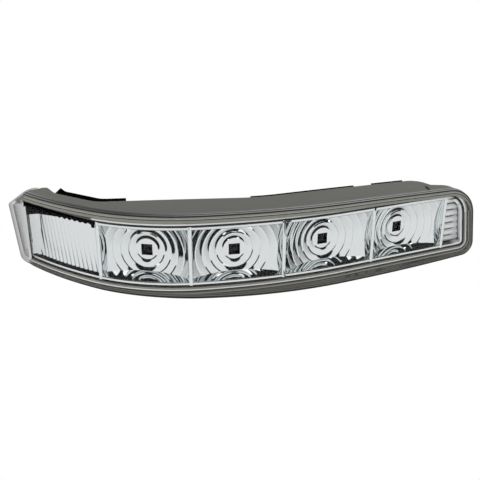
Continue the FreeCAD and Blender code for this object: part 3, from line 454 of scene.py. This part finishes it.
def rounded_corner(corner, before, after, radius):
    """Arc in a corner, from the side that leaves it backwards to the side that leaves it onwards."""
    half = before.angle(after) / 2
    centre = corner + (before + after).normalized() * (radius / math.sin(half))
    start = corner + before * (radius / math.tan(half)) - centre
    end = corner + after * (radius / math.tan(half)) - centre
    first = math.atan2(start.y, start.x)
    turn = (math.atan2(end.y, end.x) - first) % (2 * math.pi)
    arc = []
    for step in range(CORNER_STEPS + 1):
        angle = first + turn * step / CORNER_STEPS
        arc.append(centre + Vector((math.cos(angle), math.sin(angle))) * radius)
    return arc


def window_loop(inset):
    """The lit window's outline moved inwards, as (u, z) pairs, anticlockwise from lower left."""
    lean = math.radians(RIGHT_LEAN)
    foot = RIGHT_REACH - (SIDE_BORDER + inset) / math.cos(lean)
    low, high = inset, WINDOW_HEIGHT - inset
    left = WINDOW_LEFT + inset
    up = Vector((-math.sin(lean), math.cos(lean)))
    back = Vector((-1, 0))
    lower_end = Vector((foot - low * math.tan(lean), low))
    upper_end = Vector((foot - high * math.tan(lean), high))
    lower = rounded_corner(lower_end, back, up, LOWER_CORNER - inset)
    upper = rounded_corner(upper_end, -up, back, UPPER_CORNER - inset)
    points = []
    for step in range(WINDOW_STEPS):
        share = step / WINDOW_STEPS
        points.append(Vector((left + (lower[0].x - left) * share, low)))
    points += lower + upper
    for step in range(1, WINDOW_STEPS + 1):
        share = step / WINDOW_STEPS
        points.append(Vector((upper[-1].x + (left - upper[-1].x) * share, high)))
    return points


def border_back(pair):
    """How deep the border goes: further behind the cells than beside the fields."""
    return CELL_BACK if DIVIDERS[0] <= pair.x <= CELL_END else BORDER_BACK


def border():
    """The wall round the window: rounded front edge, inner side and outer side. Its left wall has
    no thickness."""
    skin = Skin()
    outer = window_loop(CLEAR)
    inner = []
    for edge, within in zip(outer, window_loop(CLEAR + BORDER_WALL)):
        at_left = edge.x <= WINDOW_LEFT + 2 * CLEAR
        inner.append(Vector((min(within.x, edge.x), within.y)) if at_left else within)
    front = []
    for cosine, sine in quarter_turn():
        front.append(((1 - cosine) * FRONT_EDGE / BORDER_WALL, REFLECTOR_INSET + FRONT_EDGE * (1 - sine)))
    front += [(1 - share, depth) for share, depth in reversed(front)]
    rows = []
    for share, depth in front:
        rows.append([lifted(edge.lerp(within, share), depth) for edge, within in zip(outer, inner)])
    rows.append([lifted(pair, border_back(pair)) for pair in inner])
    skin.grid(rows, around=True)
    outside = [lifted(pair, REFLECTOR_INSET + FRONT_EDGE) for pair in outer]
    skin.grid([outside, [lifted(pair, border_back(pair)) for pair in outer]], around=True)
    return skin


def flute_stand(across):
    """How far a flute stands out of the field at a distance from its middle."""
    height = math.sqrt(max(0.0, FLUTE_RADIUS ** 2 - across * across))
    return max(0.0, height - (FLUTE_RADIUS - FLUTE_STAND))


def fluted_field():
    """Left field: upright flutes that lean to the left at the top and fade there, on a face that
    comes forward at its left end."""
    skin = Skin()
    lean = math.tan(math.radians(FLUTE_LEAN))
    axis_inset = FIELD_INSET + FLUTE_RADIUS - FLUTE_STAND
    axis_radius = LEFT[1] - axis_inset
    first = heading_at(LEFT, WINDOW_LEFT - FIELD_OVERHANG, FIELD_INSET)
    last = heading_at(LEFT, DIVIDERS[0], FIELD_INSET)
    start = heading_at(LEFT, divider_point(0).x, axis_inset)
    pitch = math.degrees(FLUTE_PITCH / axis_radius)
    rows = []
    for level in range(FLUTE_LEVELS + 1):
        z = CLEAR + (WINDOW_HEIGHT - 2 * CLEAR) * level / FLUTE_LEVELS
        slide = math.degrees((z - AXIS) * lean / axis_radius)
        fade = FLUTE_TOP + (1 - FLUTE_TOP) * (1 - z / WINDOW_HEIGHT) ** FLUTE_FADE
        row = []
        for column in range(FLUTE_COLUMNS + 1):
            heading = first + (last - first) * column / FLUTE_COLUMNS
            phase = ((heading + slide - start) / pitch) % 1.0
            stand = flute_stand(min(phase, 1 - phase) * FLUTE_PITCH)
            flat = on_arc(LEFT, heading, FIELD_INSET)
            near = min(1.0, max(0.0, (FIELD_BEND - flat.x) / (FIELD_BEND - WINDOW_LEFT)))
            forward = (FIELD_INSET - LENS_BACK) * near * near * (3 - 2 * near)
            point = on_arc(LEFT, heading, FIELD_INSET - forward - stand * fade * (1 - near))
            row.append(Vector((point.x, point.y, z)))
        rows.append(row)
    skin.grid(rows)
    return skin


def right_edge(loop, z):
    """How far right the loop reaches at a height."""
    reach = DIVIDERS[-1]
    for before, after in zip(loop, loop[1:]):
        low, high = sorted((before.y, after.y))
        if low <= z <= high and high > low:
            share = (z - before.y) / (after.y - before.y)
            reach = max(reach, before.x + (after.x - before.x) * share)
    return reach


def ribbed_field():
    """Right field: level half-round ribs."""
    skin = Skin()
    loop = window_loop(CLEAR + RIB_MARGIN)
    first = DIVIDERS[-1]
    rows = []
    for level in range(RIB_LEVELS + 1):
        z = CLEAR + (WINDOW_HEIGHT - 2 * CLEAR) * level / RIB_LEVELS
        limit = right_edge(loop, z)
        crest = round(z / RIB_PITCH) * RIB_PITCH
        across = abs(z - crest)
        stand = math.sqrt(max(0.0, RIB_RADIUS ** 2 - across * across)) if crest > 0 else 0.0
        row = []
        for column in range(RIB_COLUMNS + 1):
            u = first + (limit - first) * column / RIB_COLUMNS
            row.append(raised(u, FIELD_INSET - stand * RIB_SHARE, z))
        rows.append(row)
    skin.grid(rows)
    return skin


def reflector_mesh():
    """Bright moulding up to the last divider, with the top left of its field cut away."""
    edge = DIVIDERS[0] - DIVIDER_THICKNESS / 2
    leftwards, rightwards = Vector((-1, 0, 0)), Vector((1, 0, 0))
    left_side = border()
    left_side.add(fluted_field())
    left_side.cut(Vector((edge, 0, FIELD_TOP)), Vector((-FIELD_FALL, 0, edge - WINDOW_LEFT)).normalized())
    left_side.cut(Vector((FIELD_START, 0, 0)), leftwards)
    left_side.cut(Vector((edge, 0, 0)), rightwards)
    middle = border()
    middle.cut(Vector((edge, 0, 0)), leftwards)
    middle.cut(Vector((DIVIDERS[-1], 0, 0)), rightwards)
    whole = Skin()
    whole.add(left_side)
    whole.add(middle)
    for cell in range(len(CELL_SHIFTS)):
        whole.add(ringed_dish(cell))
    for number in range(len(DIVIDERS)):
        whole.add(plate(number))
    return whole


def end_mesh():
    """Right end of the bright moulding: the ribbed field and the border round it."""
    whole = border()
    whole.cut(Vector((DIVIDERS[-1], 0, 0)), Vector((-1, 0, 0)))
    whole.add(ribbed_field())
    return whole


# Covers on the flange and on the land, with painted highlights and painted shade


def lower_edge(u, inset):
    """Height of the lamp's lower outline at a place along it."""
    reach = BELLY_LEFT_RADIUS + HIP_RADIUS
    rise = BELLY_LEFT_RADIUS - BELLY_DROP + HIP_DROP + HIP_RADIUS
    hip = BELLY_PLACE - math.sqrt(reach * reach - rise * rise)
    joint = hip + (BELLY_PLACE - hip) * (HIP_RADIUS + inset) / reach
    if u < hip:
        return inset - HIP_DROP
    if u < joint:
        return math.sqrt((HIP_RADIUS + inset) ** 2 - (u - hip) ** 2) - HIP_DROP - HIP_RADIUS
    radius = BELLY_LEFT_RADIUS if u < BELLY_PLACE else BELLY_RIGHT_RADIUS
    return radius - BELLY_DROP - math.sqrt((radius - inset) ** 2 - (u - BELLY_PLACE) ** 2)


def upper_edge(u, inset):
    """Height of the lamp's upper outline at a place along it."""
    return CROWN_HEIGHT - TOP_RADIUS + math.sqrt((TOP_RADIUS - inset) ** 2 - (u - CROWN_PLACE) ** 2)


def end_corner(edge, inset, radius, first, last):
    """A rounded corner at the lamp's right end, between an outline and the leaning side."""
    lean = math.radians(RIGHT_LEAN)
    height = 0.0
    for _ in range(CORNER_PASSES):
        u = RIGHT_REACH - (inset + radius) / math.cos(lean) - height * math.tan(lean)
        height = edge(u, inset + radius)
    points = []
    for step in range(CORNER_STEPS + 1):
        angle = math.radians(first + (last - first) * step / CORNER_STEPS)
        points.append(Vector((u + radius * math.cos(angle), height + radius * math.sin(angle))))
    return points


def outline_path(inset, start):
    """The lamp's outline moved inwards, from lower left round the right end to upper left."""
    low = end_corner(lower_edge, inset, LOWER_END_CORNER - inset, LOWER_MEETING, RIGHT_LEAN)
    high = end_corner(upper_edge, inset, UPPER_END_CORNER - inset, RIGHT_LEAN, UPPER_MEETING)
    path = []
    for step in range(OUTLINE_STEPS):
        u = start + (low[0].x - start) * step / OUTLINE_STEPS
        path.append(Vector((u, lower_edge(u, inset))))
    path += low + high
    for step in range(1, OUTLINE_STEPS + 1):
        u = high[-1].x + (start - high[-1].x) * step / OUTLINE_STEPS
        path.append(Vector((u, upper_edge(u, inset))))
    return path


def ribbons(faces):
    """Thin covers with painted light and shade on the flange, each between two lines given as insets from
    outline and face.
    """
    whole = Skin()
    for lines in faces:
        rows = []
        for inset, depth in lines:
            rows.append([lifted(pair, depth) for pair in outline_path(inset, RIBBON_START)])
        whole.grid(rows)
    return whole


def land_lines(lines, upper):
    """Covers with painted light and shade on the housing's land that follow the lit window, above it, or
    below and right of it.
    """
    whole = Skin()
    for first, last in lines:
        near, far = window_loop(-first), window_loop(-last)
        turn = len(near) // 2
        kept = list(range(turn + 1))
        if upper:
            kept = [number for number in range(turn, len(near)) if near[number].x > SHADE_END]
        whole.grid([[lifted(loop[number], LAND_COVER) for number in kept] for loop in (near, far)])
    return whole


def field_painted_shadow():
    """Painted shadow: black strip over the fluted field, toothed below and narrowing to the first divider.
    """
    skin = Skin()
    run = SHADE_END - SHADE_START
    upper, lower = [], []
    for column in range(SHADE_COLUMNS + 1):
        share = column / SHADE_COLUMNS
        tooth = abs((run * share / FLUTE_PITCH) % 1.0 - 0.5) * 2
        rise = SHADE_RISE_LEFT + (SHADE_RISE_RIGHT - SHADE_RISE_LEFT) * share
        u = SHADE_START + run * share
        upper.append(raised(u, LAND_COVER, WINDOW_HEIGHT + rise))
        lower.append(raised(u, LAND_COVER, WINDOW_HEIGHT - SHADE_DROP - SHADE_TOOTH * tooth))
    skin.grid([upper, lower])
    width, drop = SHADE_BLOCK
    levels = (WINDOW_HEIGHT + SHADE_RISE_RIGHT, WINDOW_HEIGHT - drop)
    skin.grid([[raised(u, LAND_COVER, level) for u in (SHADE_END, SHADE_END + width)] for level in levels])
    return skin


def led_frames():
    """Painted shade: black frames on the circuit round each LED, keeping the LED windows dark."""
    skin = Skin()
    level = -(DISH_WALL + BOARD_GAP) + SHADE_FRAME_RISE
    for cell in range(len(CELL_SHIFTS)):
        place = dish_frame(cell)
        rows = [square_row(place, side / 2, level) for side in (LED_SIDE, SHADE_FRAME_SIDE)]
        skin.grid(rows, around=True)
    return skin


# Materials

# Painted shade on the lens by how much it is seen edge on, for its cover and its nose
COVER_EDGE_SHADE = ((0.0, 0.96), (0.4, 0.94), (0.62, 0.6), (0.82, 0.22), (1.0, 0.04))
NOSE_EDGE_SHADE = ((0.0, 0.9), (0.4, 0.86), (0.6, 0.5), (0.8, 0.2), (1.0, 0.03))
LENS_INDEX = 1.03
# Where the lens passes from its cover to its nose
NOSE_EDGE = -65.4
NOSE_BLEND = 0.4
# Painted shade on the moulding by how open it is, inside and in its steps, painted highlights by how
# sharp its edges are, and the radius by which its edges look rounded
INSIDE_REACH = 20.0
INSIDE_SHADE = ((0.35, 0.04), (0.9, 1.0))
STEP_REACH = 1.2
STEP_SHADE = ((0.5, 0.12), (0.98, 1.0))
EDGE_HIGHLIGHT = ((0.8, 2.2), (0.985, 1.0))
SOFT_RADIUS = 0.22
# Painted shade on the ribbed end: in its corners, by how open it is, and in its grooves
CORNER_SHADE = ((0.3, 0.3), (0.6, 1.0))
GROOVE_SHADE = ((0.0, 1.0), (1.0, 0.06))
# Painted light on the housing's grey end wall beside the lit window: its right edge, its top, how
# softly each ends, its colour, and the Y of the normal at which it starts and is full
END_EDGE = WINDOW_LEFT + 0.1
END_TOP = 24.0
END_EDGE_BLEND = 0.2
END_TOP_BLEND = 0.4
END_PAINTED_LIGHT = (0.95, 0.97, 0.97, 1)
END_FRONT = (-0.5, -0.6)
# Samples taken for openness and for rounded edges
SKY_SAMPLES = 12
EDGE_SAMPLES = 8


def material(name, colour, roughness, metallic=0.0, specular=0.5):
    """Plain material with its values on the shader."""
    made = bpy.data.materials.new(name)
    made.use_nodes = True
    shader = made.node_tree.nodes["Principled BSDF"]
    shader.inputs["Base Color"].default_value = (*colour, 1)
    shader.inputs["Roughness"].default_value = roughness
    shader.inputs["Metallic"].default_value = metallic
    shader.inputs["Specular IOR Level"].default_value = specular
    return made


def cover_material(name, colour):
    """Satin material of the thin covers."""
    return material(name, colour, 0.45, specular=0.3)


def ramped(nodes, links, value, stops):
    """Grey level from a value, through stops given as place and level."""
    ramp = nodes.new("ShaderNodeValToRGB")
    elements = ramp.color_ramp.elements
    for element, (place, level) in ((elements[0], stops[0]), (elements[1], stops[-1])):
        element.position = place
        element.color = (level, level, level, 1)
    for place, level in stops[1:-1]:
        elements.new(place).color = (level, level, level, 1)
    links.new(value, ramp.inputs["Fac"])
    return ramp.outputs["Color"]


def mapped(nodes, links, value, first, last):
    """From 0 to 1 as a value goes from the first limit to the last."""
    made = nodes.new("ShaderNodeMapRange")
    made.inputs["From Min"].default_value = first
    made.inputs["From Max"].default_value = last
    links.new(value, made.inputs["Value"])
    return made.outputs["Result"]


def computed(nodes, links, operation, first, second):
    """One sum on a value; the second may be a number or another value."""
    made = nodes.new("ShaderNodeMath")
    made.operation = operation
    links.new(first, made.inputs[0])
    if isinstance(second, float):
        made.inputs[1].default_value = second
    else:
        links.new(second, made.inputs[1])
    return made.outputs["Value"]


def blended(nodes, links, factor, first, second):
    """Colour between two colours; the second may be fixed."""
    mix = nodes.new("ShaderNodeMix")
    mix.data_type = "RGBA"
    links.new(factor, mix.inputs["Factor"])
    links.new(first, mix.inputs["A"])
    if isinstance(second, tuple):
        mix.inputs["B"].default_value = second
    else:
        links.new(second, mix.inputs["B"])
    return mix.outputs["Result"]


def scaled(nodes, links, value, factor):
    """Colour multiplied by another colour or grey level."""
    mix = nodes.new("ShaderNodeMix")
    mix.data_type = "RGBA"
    mix.blend_type = "MULTIPLY"
    mix.inputs["Factor"].default_value = 1.0
    links.new(value, mix.inputs["A"])
    links.new(factor, mix.inputs["B"])
    return mix.outputs["Result"]


def plain(nodes, colour):
    """A fixed colour."""
    made = nodes.new("ShaderNodeRGB")
    made.outputs["Color"].default_value = (*colour, 1)
    return made.outputs["Color"]


def parts_of(nodes, links, vector):
    """X, Y and Z of a vector."""
    apart = nodes.new("ShaderNodeSeparateXYZ")
    links.new(vector, apart.inputs["Vector"])
    return apart.outputs


def openness(nodes, links, reach, stops):
    """Grey level from how open the surface is within a reach."""
    sky = nodes.new("ShaderNodeAmbientOcclusion")
    sky.samples = SKY_SAMPLES
    sky.only_local = True
    sky.inputs["Distance"].default_value = reach * MM
    return ramped(nodes, links, sky.outputs["AO"], stops)


def along(u):
    """Place along the lamp in the part's own frame, in metres."""
    return (u - ORIGIN.x) * MM


def clear_material(name, colour):
    """Clear plastic, with painted shade where it is seen edge on, that lets light through to what it
    covers.
    """
    made = material(name, colour, 0.0)
    nodes, links = made.node_tree.nodes, made.node_tree.links
    shader = nodes["Principled BSDF"]
    shader.inputs["Transmission Weight"].default_value = 1.0
    shader.inputs["IOR"].default_value = LENS_INDEX
    shader.inputs["Coat Weight"].default_value = 0.12
    shader.inputs["Coat Roughness"].default_value = 0.02
    # Painted shade: the lens's colour darkens where it is seen edge on
    weight = nodes.new("ShaderNodeLayerWeight")
    weight.inputs["Blend"].default_value = 0.5
    cover = ramped(nodes, links, weight.outputs["Facing"], COVER_EDGE_SHADE)
    nose = ramped(nodes, links, weight.outputs["Facing"], NOSE_EDGE_SHADE)
    shape = nodes.new("ShaderNodeNewGeometry")
    place = parts_of(nodes, links, shape.outputs["Position"])
    beyond = mapped(nodes, links, place["X"], along(NOSE_EDGE), along(NOSE_EDGE - NOSE_BLEND))
    links.new(blended(nodes, links, beyond, cover, nose), shader.inputs["Base Color"])
    clear = nodes.new("ShaderNodeBsdfTransparent")
    rays = nodes.new("ShaderNodeLightPath")
    mix = nodes.new("ShaderNodeMixShader")
    links.new(rays.outputs["Is Shadow Ray"], mix.inputs["Fac"])
    links.new(shader.outputs["BSDF"], mix.inputs[1])
    links.new(clear.outputs["BSDF"], mix.inputs[2])
    links.new(mix.outputs["Shader"], nodes["Material Output"].inputs["Surface"])
    return made


def moulded_material(name, colour, roughness):
    """Plain moulding: painted highlights along its edges, painted shade in its steps, its grooves and
    inside, and painted light on the end wall beside the lit window."""
    made = material(name, colour, roughness, specular=0.35)
    nodes, links = made.node_tree.nodes, made.node_tree.links
    shader = nodes["Principled BSDF"]
    shape = nodes.new("ShaderNodeNewGeometry")
    soft = nodes.new("ShaderNodeBevel")
    soft.samples = EDGE_SAMPLES
    soft.inputs["Radius"].default_value = SOFT_RADIUS * MM
    turn = nodes.new("ShaderNodeVectorMath")
    turn.operation = "DOT_PRODUCT"
    links.new(soft.outputs["Normal"], turn.inputs[0])
    links.new(shape.outputs["Normal"], turn.inputs[1])
    # Painted shade inside and in the steps, from how open the surface is, and painted highlights along the
    # edges
    tone = scaled(nodes, links, plain(nodes, colour), openness(nodes, links, INSIDE_REACH, INSIDE_SHADE))
    tone = scaled(nodes, links, tone, openness(nodes, links, STEP_REACH, STEP_SHADE))
    tone = scaled(nodes, links, tone, ramped(nodes, links, turn.outputs["Value"], EDGE_HIGHLIGHT))
    place = parts_of(nodes, links, shape.outputs["Position"])
    normal = parts_of(nodes, links, shape.outputs["Normal"])
    # Painted light: the end wall is painted nearly white where it faces the front
    at_end = mapped(nodes, links, place["X"], along(END_EDGE + END_EDGE_BLEND), along(END_EDGE))
    at_front = mapped(nodes, links, normal["Y"], *END_FRONT)
    top = END_TOP - AXIS
    below_top = mapped(nodes, links, place["Z"], (top + END_TOP_BLEND) * MM, top * MM)
    end_light = computed(nodes, links, "MULTIPLY", at_end, at_front)
    end_light = computed(nodes, links, "MULTIPLY", end_light, below_top)
    links.new(blended(nodes, links, end_light, tone, END_PAINTED_LIGHT), shader.inputs["Base Color"])
    links.new(soft.outputs["Normal"], shader.inputs["Normal"])
    return made


def satin_material(name, colour, roughness):
    """Satin bright coat, with painted shade in its corners, and in the grooves between its level ribs
    where it fades to the right.
    """
    made = material(name, colour, roughness, metallic=0.25)
    nodes, links = made.node_tree.nodes, made.node_tree.links
    shape = nodes.new("ShaderNodeNewGeometry")
    place = parts_of(nodes, links, shape.outputs["Position"])
    half_pitch = RIB_PITCH / 2
    height = computed(nodes, links, "ADD", place["Z"], AXIS * MM)
    from_crest = computed(nodes, links, "PINGPONG", height, half_pitch * MM)
    start, full = half_pitch - GROOVE_HALF, half_pitch - GROOVE_HALF / 2
    # Painted shade in the grooves between the ribs
    groove_shade = mapped(nodes, links, from_crest, start * MM, full * MM)
    near = mapped(nodes, links, place["X"], along(GROOVE_END), along(GROOVE_FADE))
    depth = computed(nodes, links, "MULTIPLY", groove_shade, near)
    tone = scaled(nodes, links, plain(nodes, colour), openness(nodes, links, STEP_REACH, CORNER_SHADE))
    tone = scaled(nodes, links, tone, ramped(nodes, links, depth, GROOVE_SHADE))
    links.new(tone, nodes["Principled BSDF"].inputs["Base Color"])
    return made


def along_material(name, colour, tones):
    """Plain moulding whose grey goes with the place along the lamp: painted light and shade."""
    made = cover_material(name, colour)
    nodes, links = made.node_tree.nodes, made.node_tree.links
    shape = nodes.new("ShaderNodeNewGeometry")
    place = parts_of(nodes, links, shape.outputs["Position"])
    start, end = tones[0][0], tones[-1][0]
    share = mapped(nodes, links, place["X"], along(start), along(end))
    stops = [((u - start) / (end - start), level) for u, level in tones]
    links.new(ramped(nodes, links, share, stops), nodes["Principled BSDF"].inputs["Base Color"])
    return made


LOOKS = {
    "clear_lens": clear_material("clear_lens", (0.97, 0.98, 0.98)),
    "grey_moulding": moulded_material("grey_moulding", (0.122, 0.122, 0.106), 0.4),
    "bright_moulding": material("bright_moulding", (0.87, 0.9, 0.905), 0.04, metallic=1.0),
    "circuit_film": material("circuit_film", (0.45, 0.22, 0.06), 0.4),
    "spreader_metal": material("spreader_metal", (0.7, 0.7, 0.72), 0.35, metallic=1.0),
    "led_body": material("led_body", (0.006, 0.006, 0.006), 0.12, specular=0.25),
    "component_black": material("component_black", (0.012, 0.012, 0.012), 0.5, specular=0.2),
    "circuit_board": material("circuit_board", (0.02, 0.14, 0.06), 0.35),
    "capacitor_can": material("capacitor_can", (0.6, 0.6, 0.62), 0.3, metallic=1.0),
    "terminal_metal": material("terminal_metal", (0.72, 0.7, 0.64), 0.25, metallic=1.0),
    "screw_steel": material("screw_steel", (0.55, 0.55, 0.56), 0.3, metallic=1.0),
    "vent_film": material("vent_film", (0.7, 0.7, 0.68), 0.7),
    "black_foam": material("black_foam", (0.002, 0.002, 0.002), 0.95, specular=0.0),
}

# The solids: their looks, and smooth faces with sharp edges beyond an angle. Corners that are
# closer together than the weld distance, in metres, are joined first.

SMOOTH_ANGLE = 32.0
WELD_DISTANCE = 1e-6

for entry in frame["record"]["subparts"]:
    node = frame["nodes"][entry["node"]]
    node.data.materials.clear()
    node.data.materials.append(LOOKS[entry["material_slot"]])
    for face in node.data.polygons:
        face.use_smooth = True
    weld = node.modifiers.new("weld", "WELD")
    weld.merge_threshold = WELD_DISTANCE
    split = node.modifiers.new("split", "EDGE_SPLIT")
    split.split_angle = math.radians(SMOOTH_ANGLE)

# The pieces modelled here

satin_end = satin_material("satin_end", (0.95, 0.97, 0.97), 0.3)
reflector_mesh().finish("reflector_form", LOOKS["bright_moulding"], "bright_moulding", ["reflector"])
# Painted shadow over the top of the fluted field, in black
field_painted_shadow().finish("field_painted_shadow", LOOKS["black_foam"], "component_black")
end_mesh().finish("reflector_end", satin_end, "bright_moulding")
# The covers carry painted highlights, painted light and painted shade along the flange's steps and round
# the window.
COVERS = (
    ("flange_painted_highlight", ribbons(FLANGE_HIGHLIGHT_FACES), (0.42, 0.42, 0.38)),
    ("flange_painted_light", ribbons(FLANGE_LIT_FACES), (0.34, 0.34, 0.3)),
    ("flange_painted_shade", ribbons(FLANGE_SHADE_FACES), (0.03, 0.03, 0.027)),
    ("land_painted_highlight", land_lines(UPPER_HIGHLIGHT, upper=True), (1.0, 1.0, 0.98)),
    ("land_painted_light", land_lines(UPPER_LIT, upper=True), (0.5, 0.5, 0.45)),
    ("land_painted_shade", land_lines(UPPER_SHADE, upper=True), (0.02, 0.02, 0.02)),
    ("lower_painted_highlight", land_lines(LOWER_HIGHLIGHT, upper=False), (0.9, 0.9, 0.88)),
    ("lower_painted_light", land_lines(LOWER_LIT, upper=False), (0.3, 0.3, 0.27)),
    ("lower_painted_shade", land_lines(LOWER_SHADE, upper=False), (0.03, 0.03, 0.027)),
)
for name, skin, colour in COVERS:
    skin.finish(name, cover_material(name, colour), "grey_moulding")
# Painted light and shade on the flange's outer faces, lighter or darker along the lamp
flange_outer_light_and_shade = along_material("flange_outer_light_and_shade", (0.3, 0.3, 0.27), OUTER_LIGHT_AND_SHADE)
ribbons(OUTER_FACES).finish("flange_outer_light_and_shade", flange_outer_light_and_shade, "grey_moulding")
# Black frames that paint shade into the LED windows
led_frames().finish("led_window_painted_shade", LOOKS["component_black"], "component_black")

# World: for mirrors it is white low down and dark overhead, for plain surfaces it is light
# overhead and dim below, and the camera sees white past the lamp. Stops are height, from 0
# straight below to 1 straight above, and level.

MIRRORED_SKY = ((0.0, 0.7), (0.3, 0.86), (0.635, 0.86), (0.655, 0.008), (1.0, 0.02))
LIGHTING_SKY = ((0.0, 0.15), (0.45, 0.22), (0.6, 0.4), (0.8, 1.0), (1.0, 1.1))

world = bpy.data.worlds.new("studio")
bpy.context.scene.world = world
world.use_nodes = True
nodes, links = world.node_tree.nodes, world.node_tree.links
nodes.clear()
coordinates = nodes.new("ShaderNodeTexCoord")
direction = parts_of(nodes, links, coordinates.outputs["Generated"])
height = mapped(nodes, links, direction["Z"], -1.0, 1.0)


def surround(stops):
    """Background whose grey level goes with height."""
    made = nodes.new("ShaderNodeBackground")
    links.new(ramped(nodes, links, height, stops), made.inputs["Color"])
    return made.outputs["Background"]


def mixed(fac, first, second):
    """The second background for one kind of ray, the first for all others."""
    mix = nodes.new("ShaderNodeMixShader")
    links.new(fac, mix.inputs["Fac"])
    links.new(first, mix.inputs[1])
    links.new(second, mix.inputs[2])
    return mix.outputs["Shader"]


white = nodes.new("ShaderNodeBackground")
white.inputs["Color"].default_value = (1, 1, 1, 1)
rays = nodes.new("ShaderNodeLightPath")
output = nodes.new("ShaderNodeOutputWorld")
lit = mixed(rays.outputs["Is Diffuse Ray"], surround(MIRRORED_SKY), surround(LIGHTING_SKY))
seen = mixed(rays.outputs["Is Camera Ray"], lit, white.outputs["Background"])
links.new(seen, output.inputs["Surface"])

# Soft lamps, one high in front, seen in the floors of the middle cells, and one high at the
# right: place, aim, width and height in metres, and power
LAMPS = {
    "front_lamp": ((0.03, -0.32, 0.52), (0, -0.03, 0), (0.2, 0.13), 0.12),
    "right_lamp": ((0.33, -0.2, 0.45), (0.06, 0, 0), (0.05, 0.05), 0.02),
}
for name, (place, aim, size, power) in LAMPS.items():
    data = bpy.data.lights.new(name, "AREA")
    data.shape = "RECTANGLE"
    data.size, data.size_y = size
    data.energy = power
    lamp = bpy.data.objects.new(name, data)
    lamp.location = place
    lamp.rotation_euler = (Vector(aim) - Vector(place)).to_track_quat("-Z", "Y").to_euler()
    bpy.context.scene.collection.objects.link(lamp)

# Camera: place in metres, looking 20 degrees down

CAMERA_PLACE = (0.004, -0.24603, 0.08528)
CAMERA_TILT = 70.0
CAMERA_LENS = 45.0
CAMERA_SENSOR = 36.0

camera_data = bpy.data.cameras.new("camera")
camera_data.lens = CAMERA_LENS
camera_data.sensor_width = CAMERA_SENSOR
camera = bpy.data.objects.new("camera", camera_data)
camera.location = CAMERA_PLACE
camera.rotation_euler = (math.radians(CAMERA_TILT), 0, 0)
bpy.context.scene.collection.objects.link(camera)
bpy.context.scene.camera = camera

scene = bpy.context.scene
scene.cycles.max_bounces = 24
scene.cycles.glossy_bounces = 16
scene.cycles.transmission_bounces = 16
scene.cycles.transparent_max_bounces = 16
scene.view_settings.view_transform = "Standard"
scene.view_settings.look = "None"
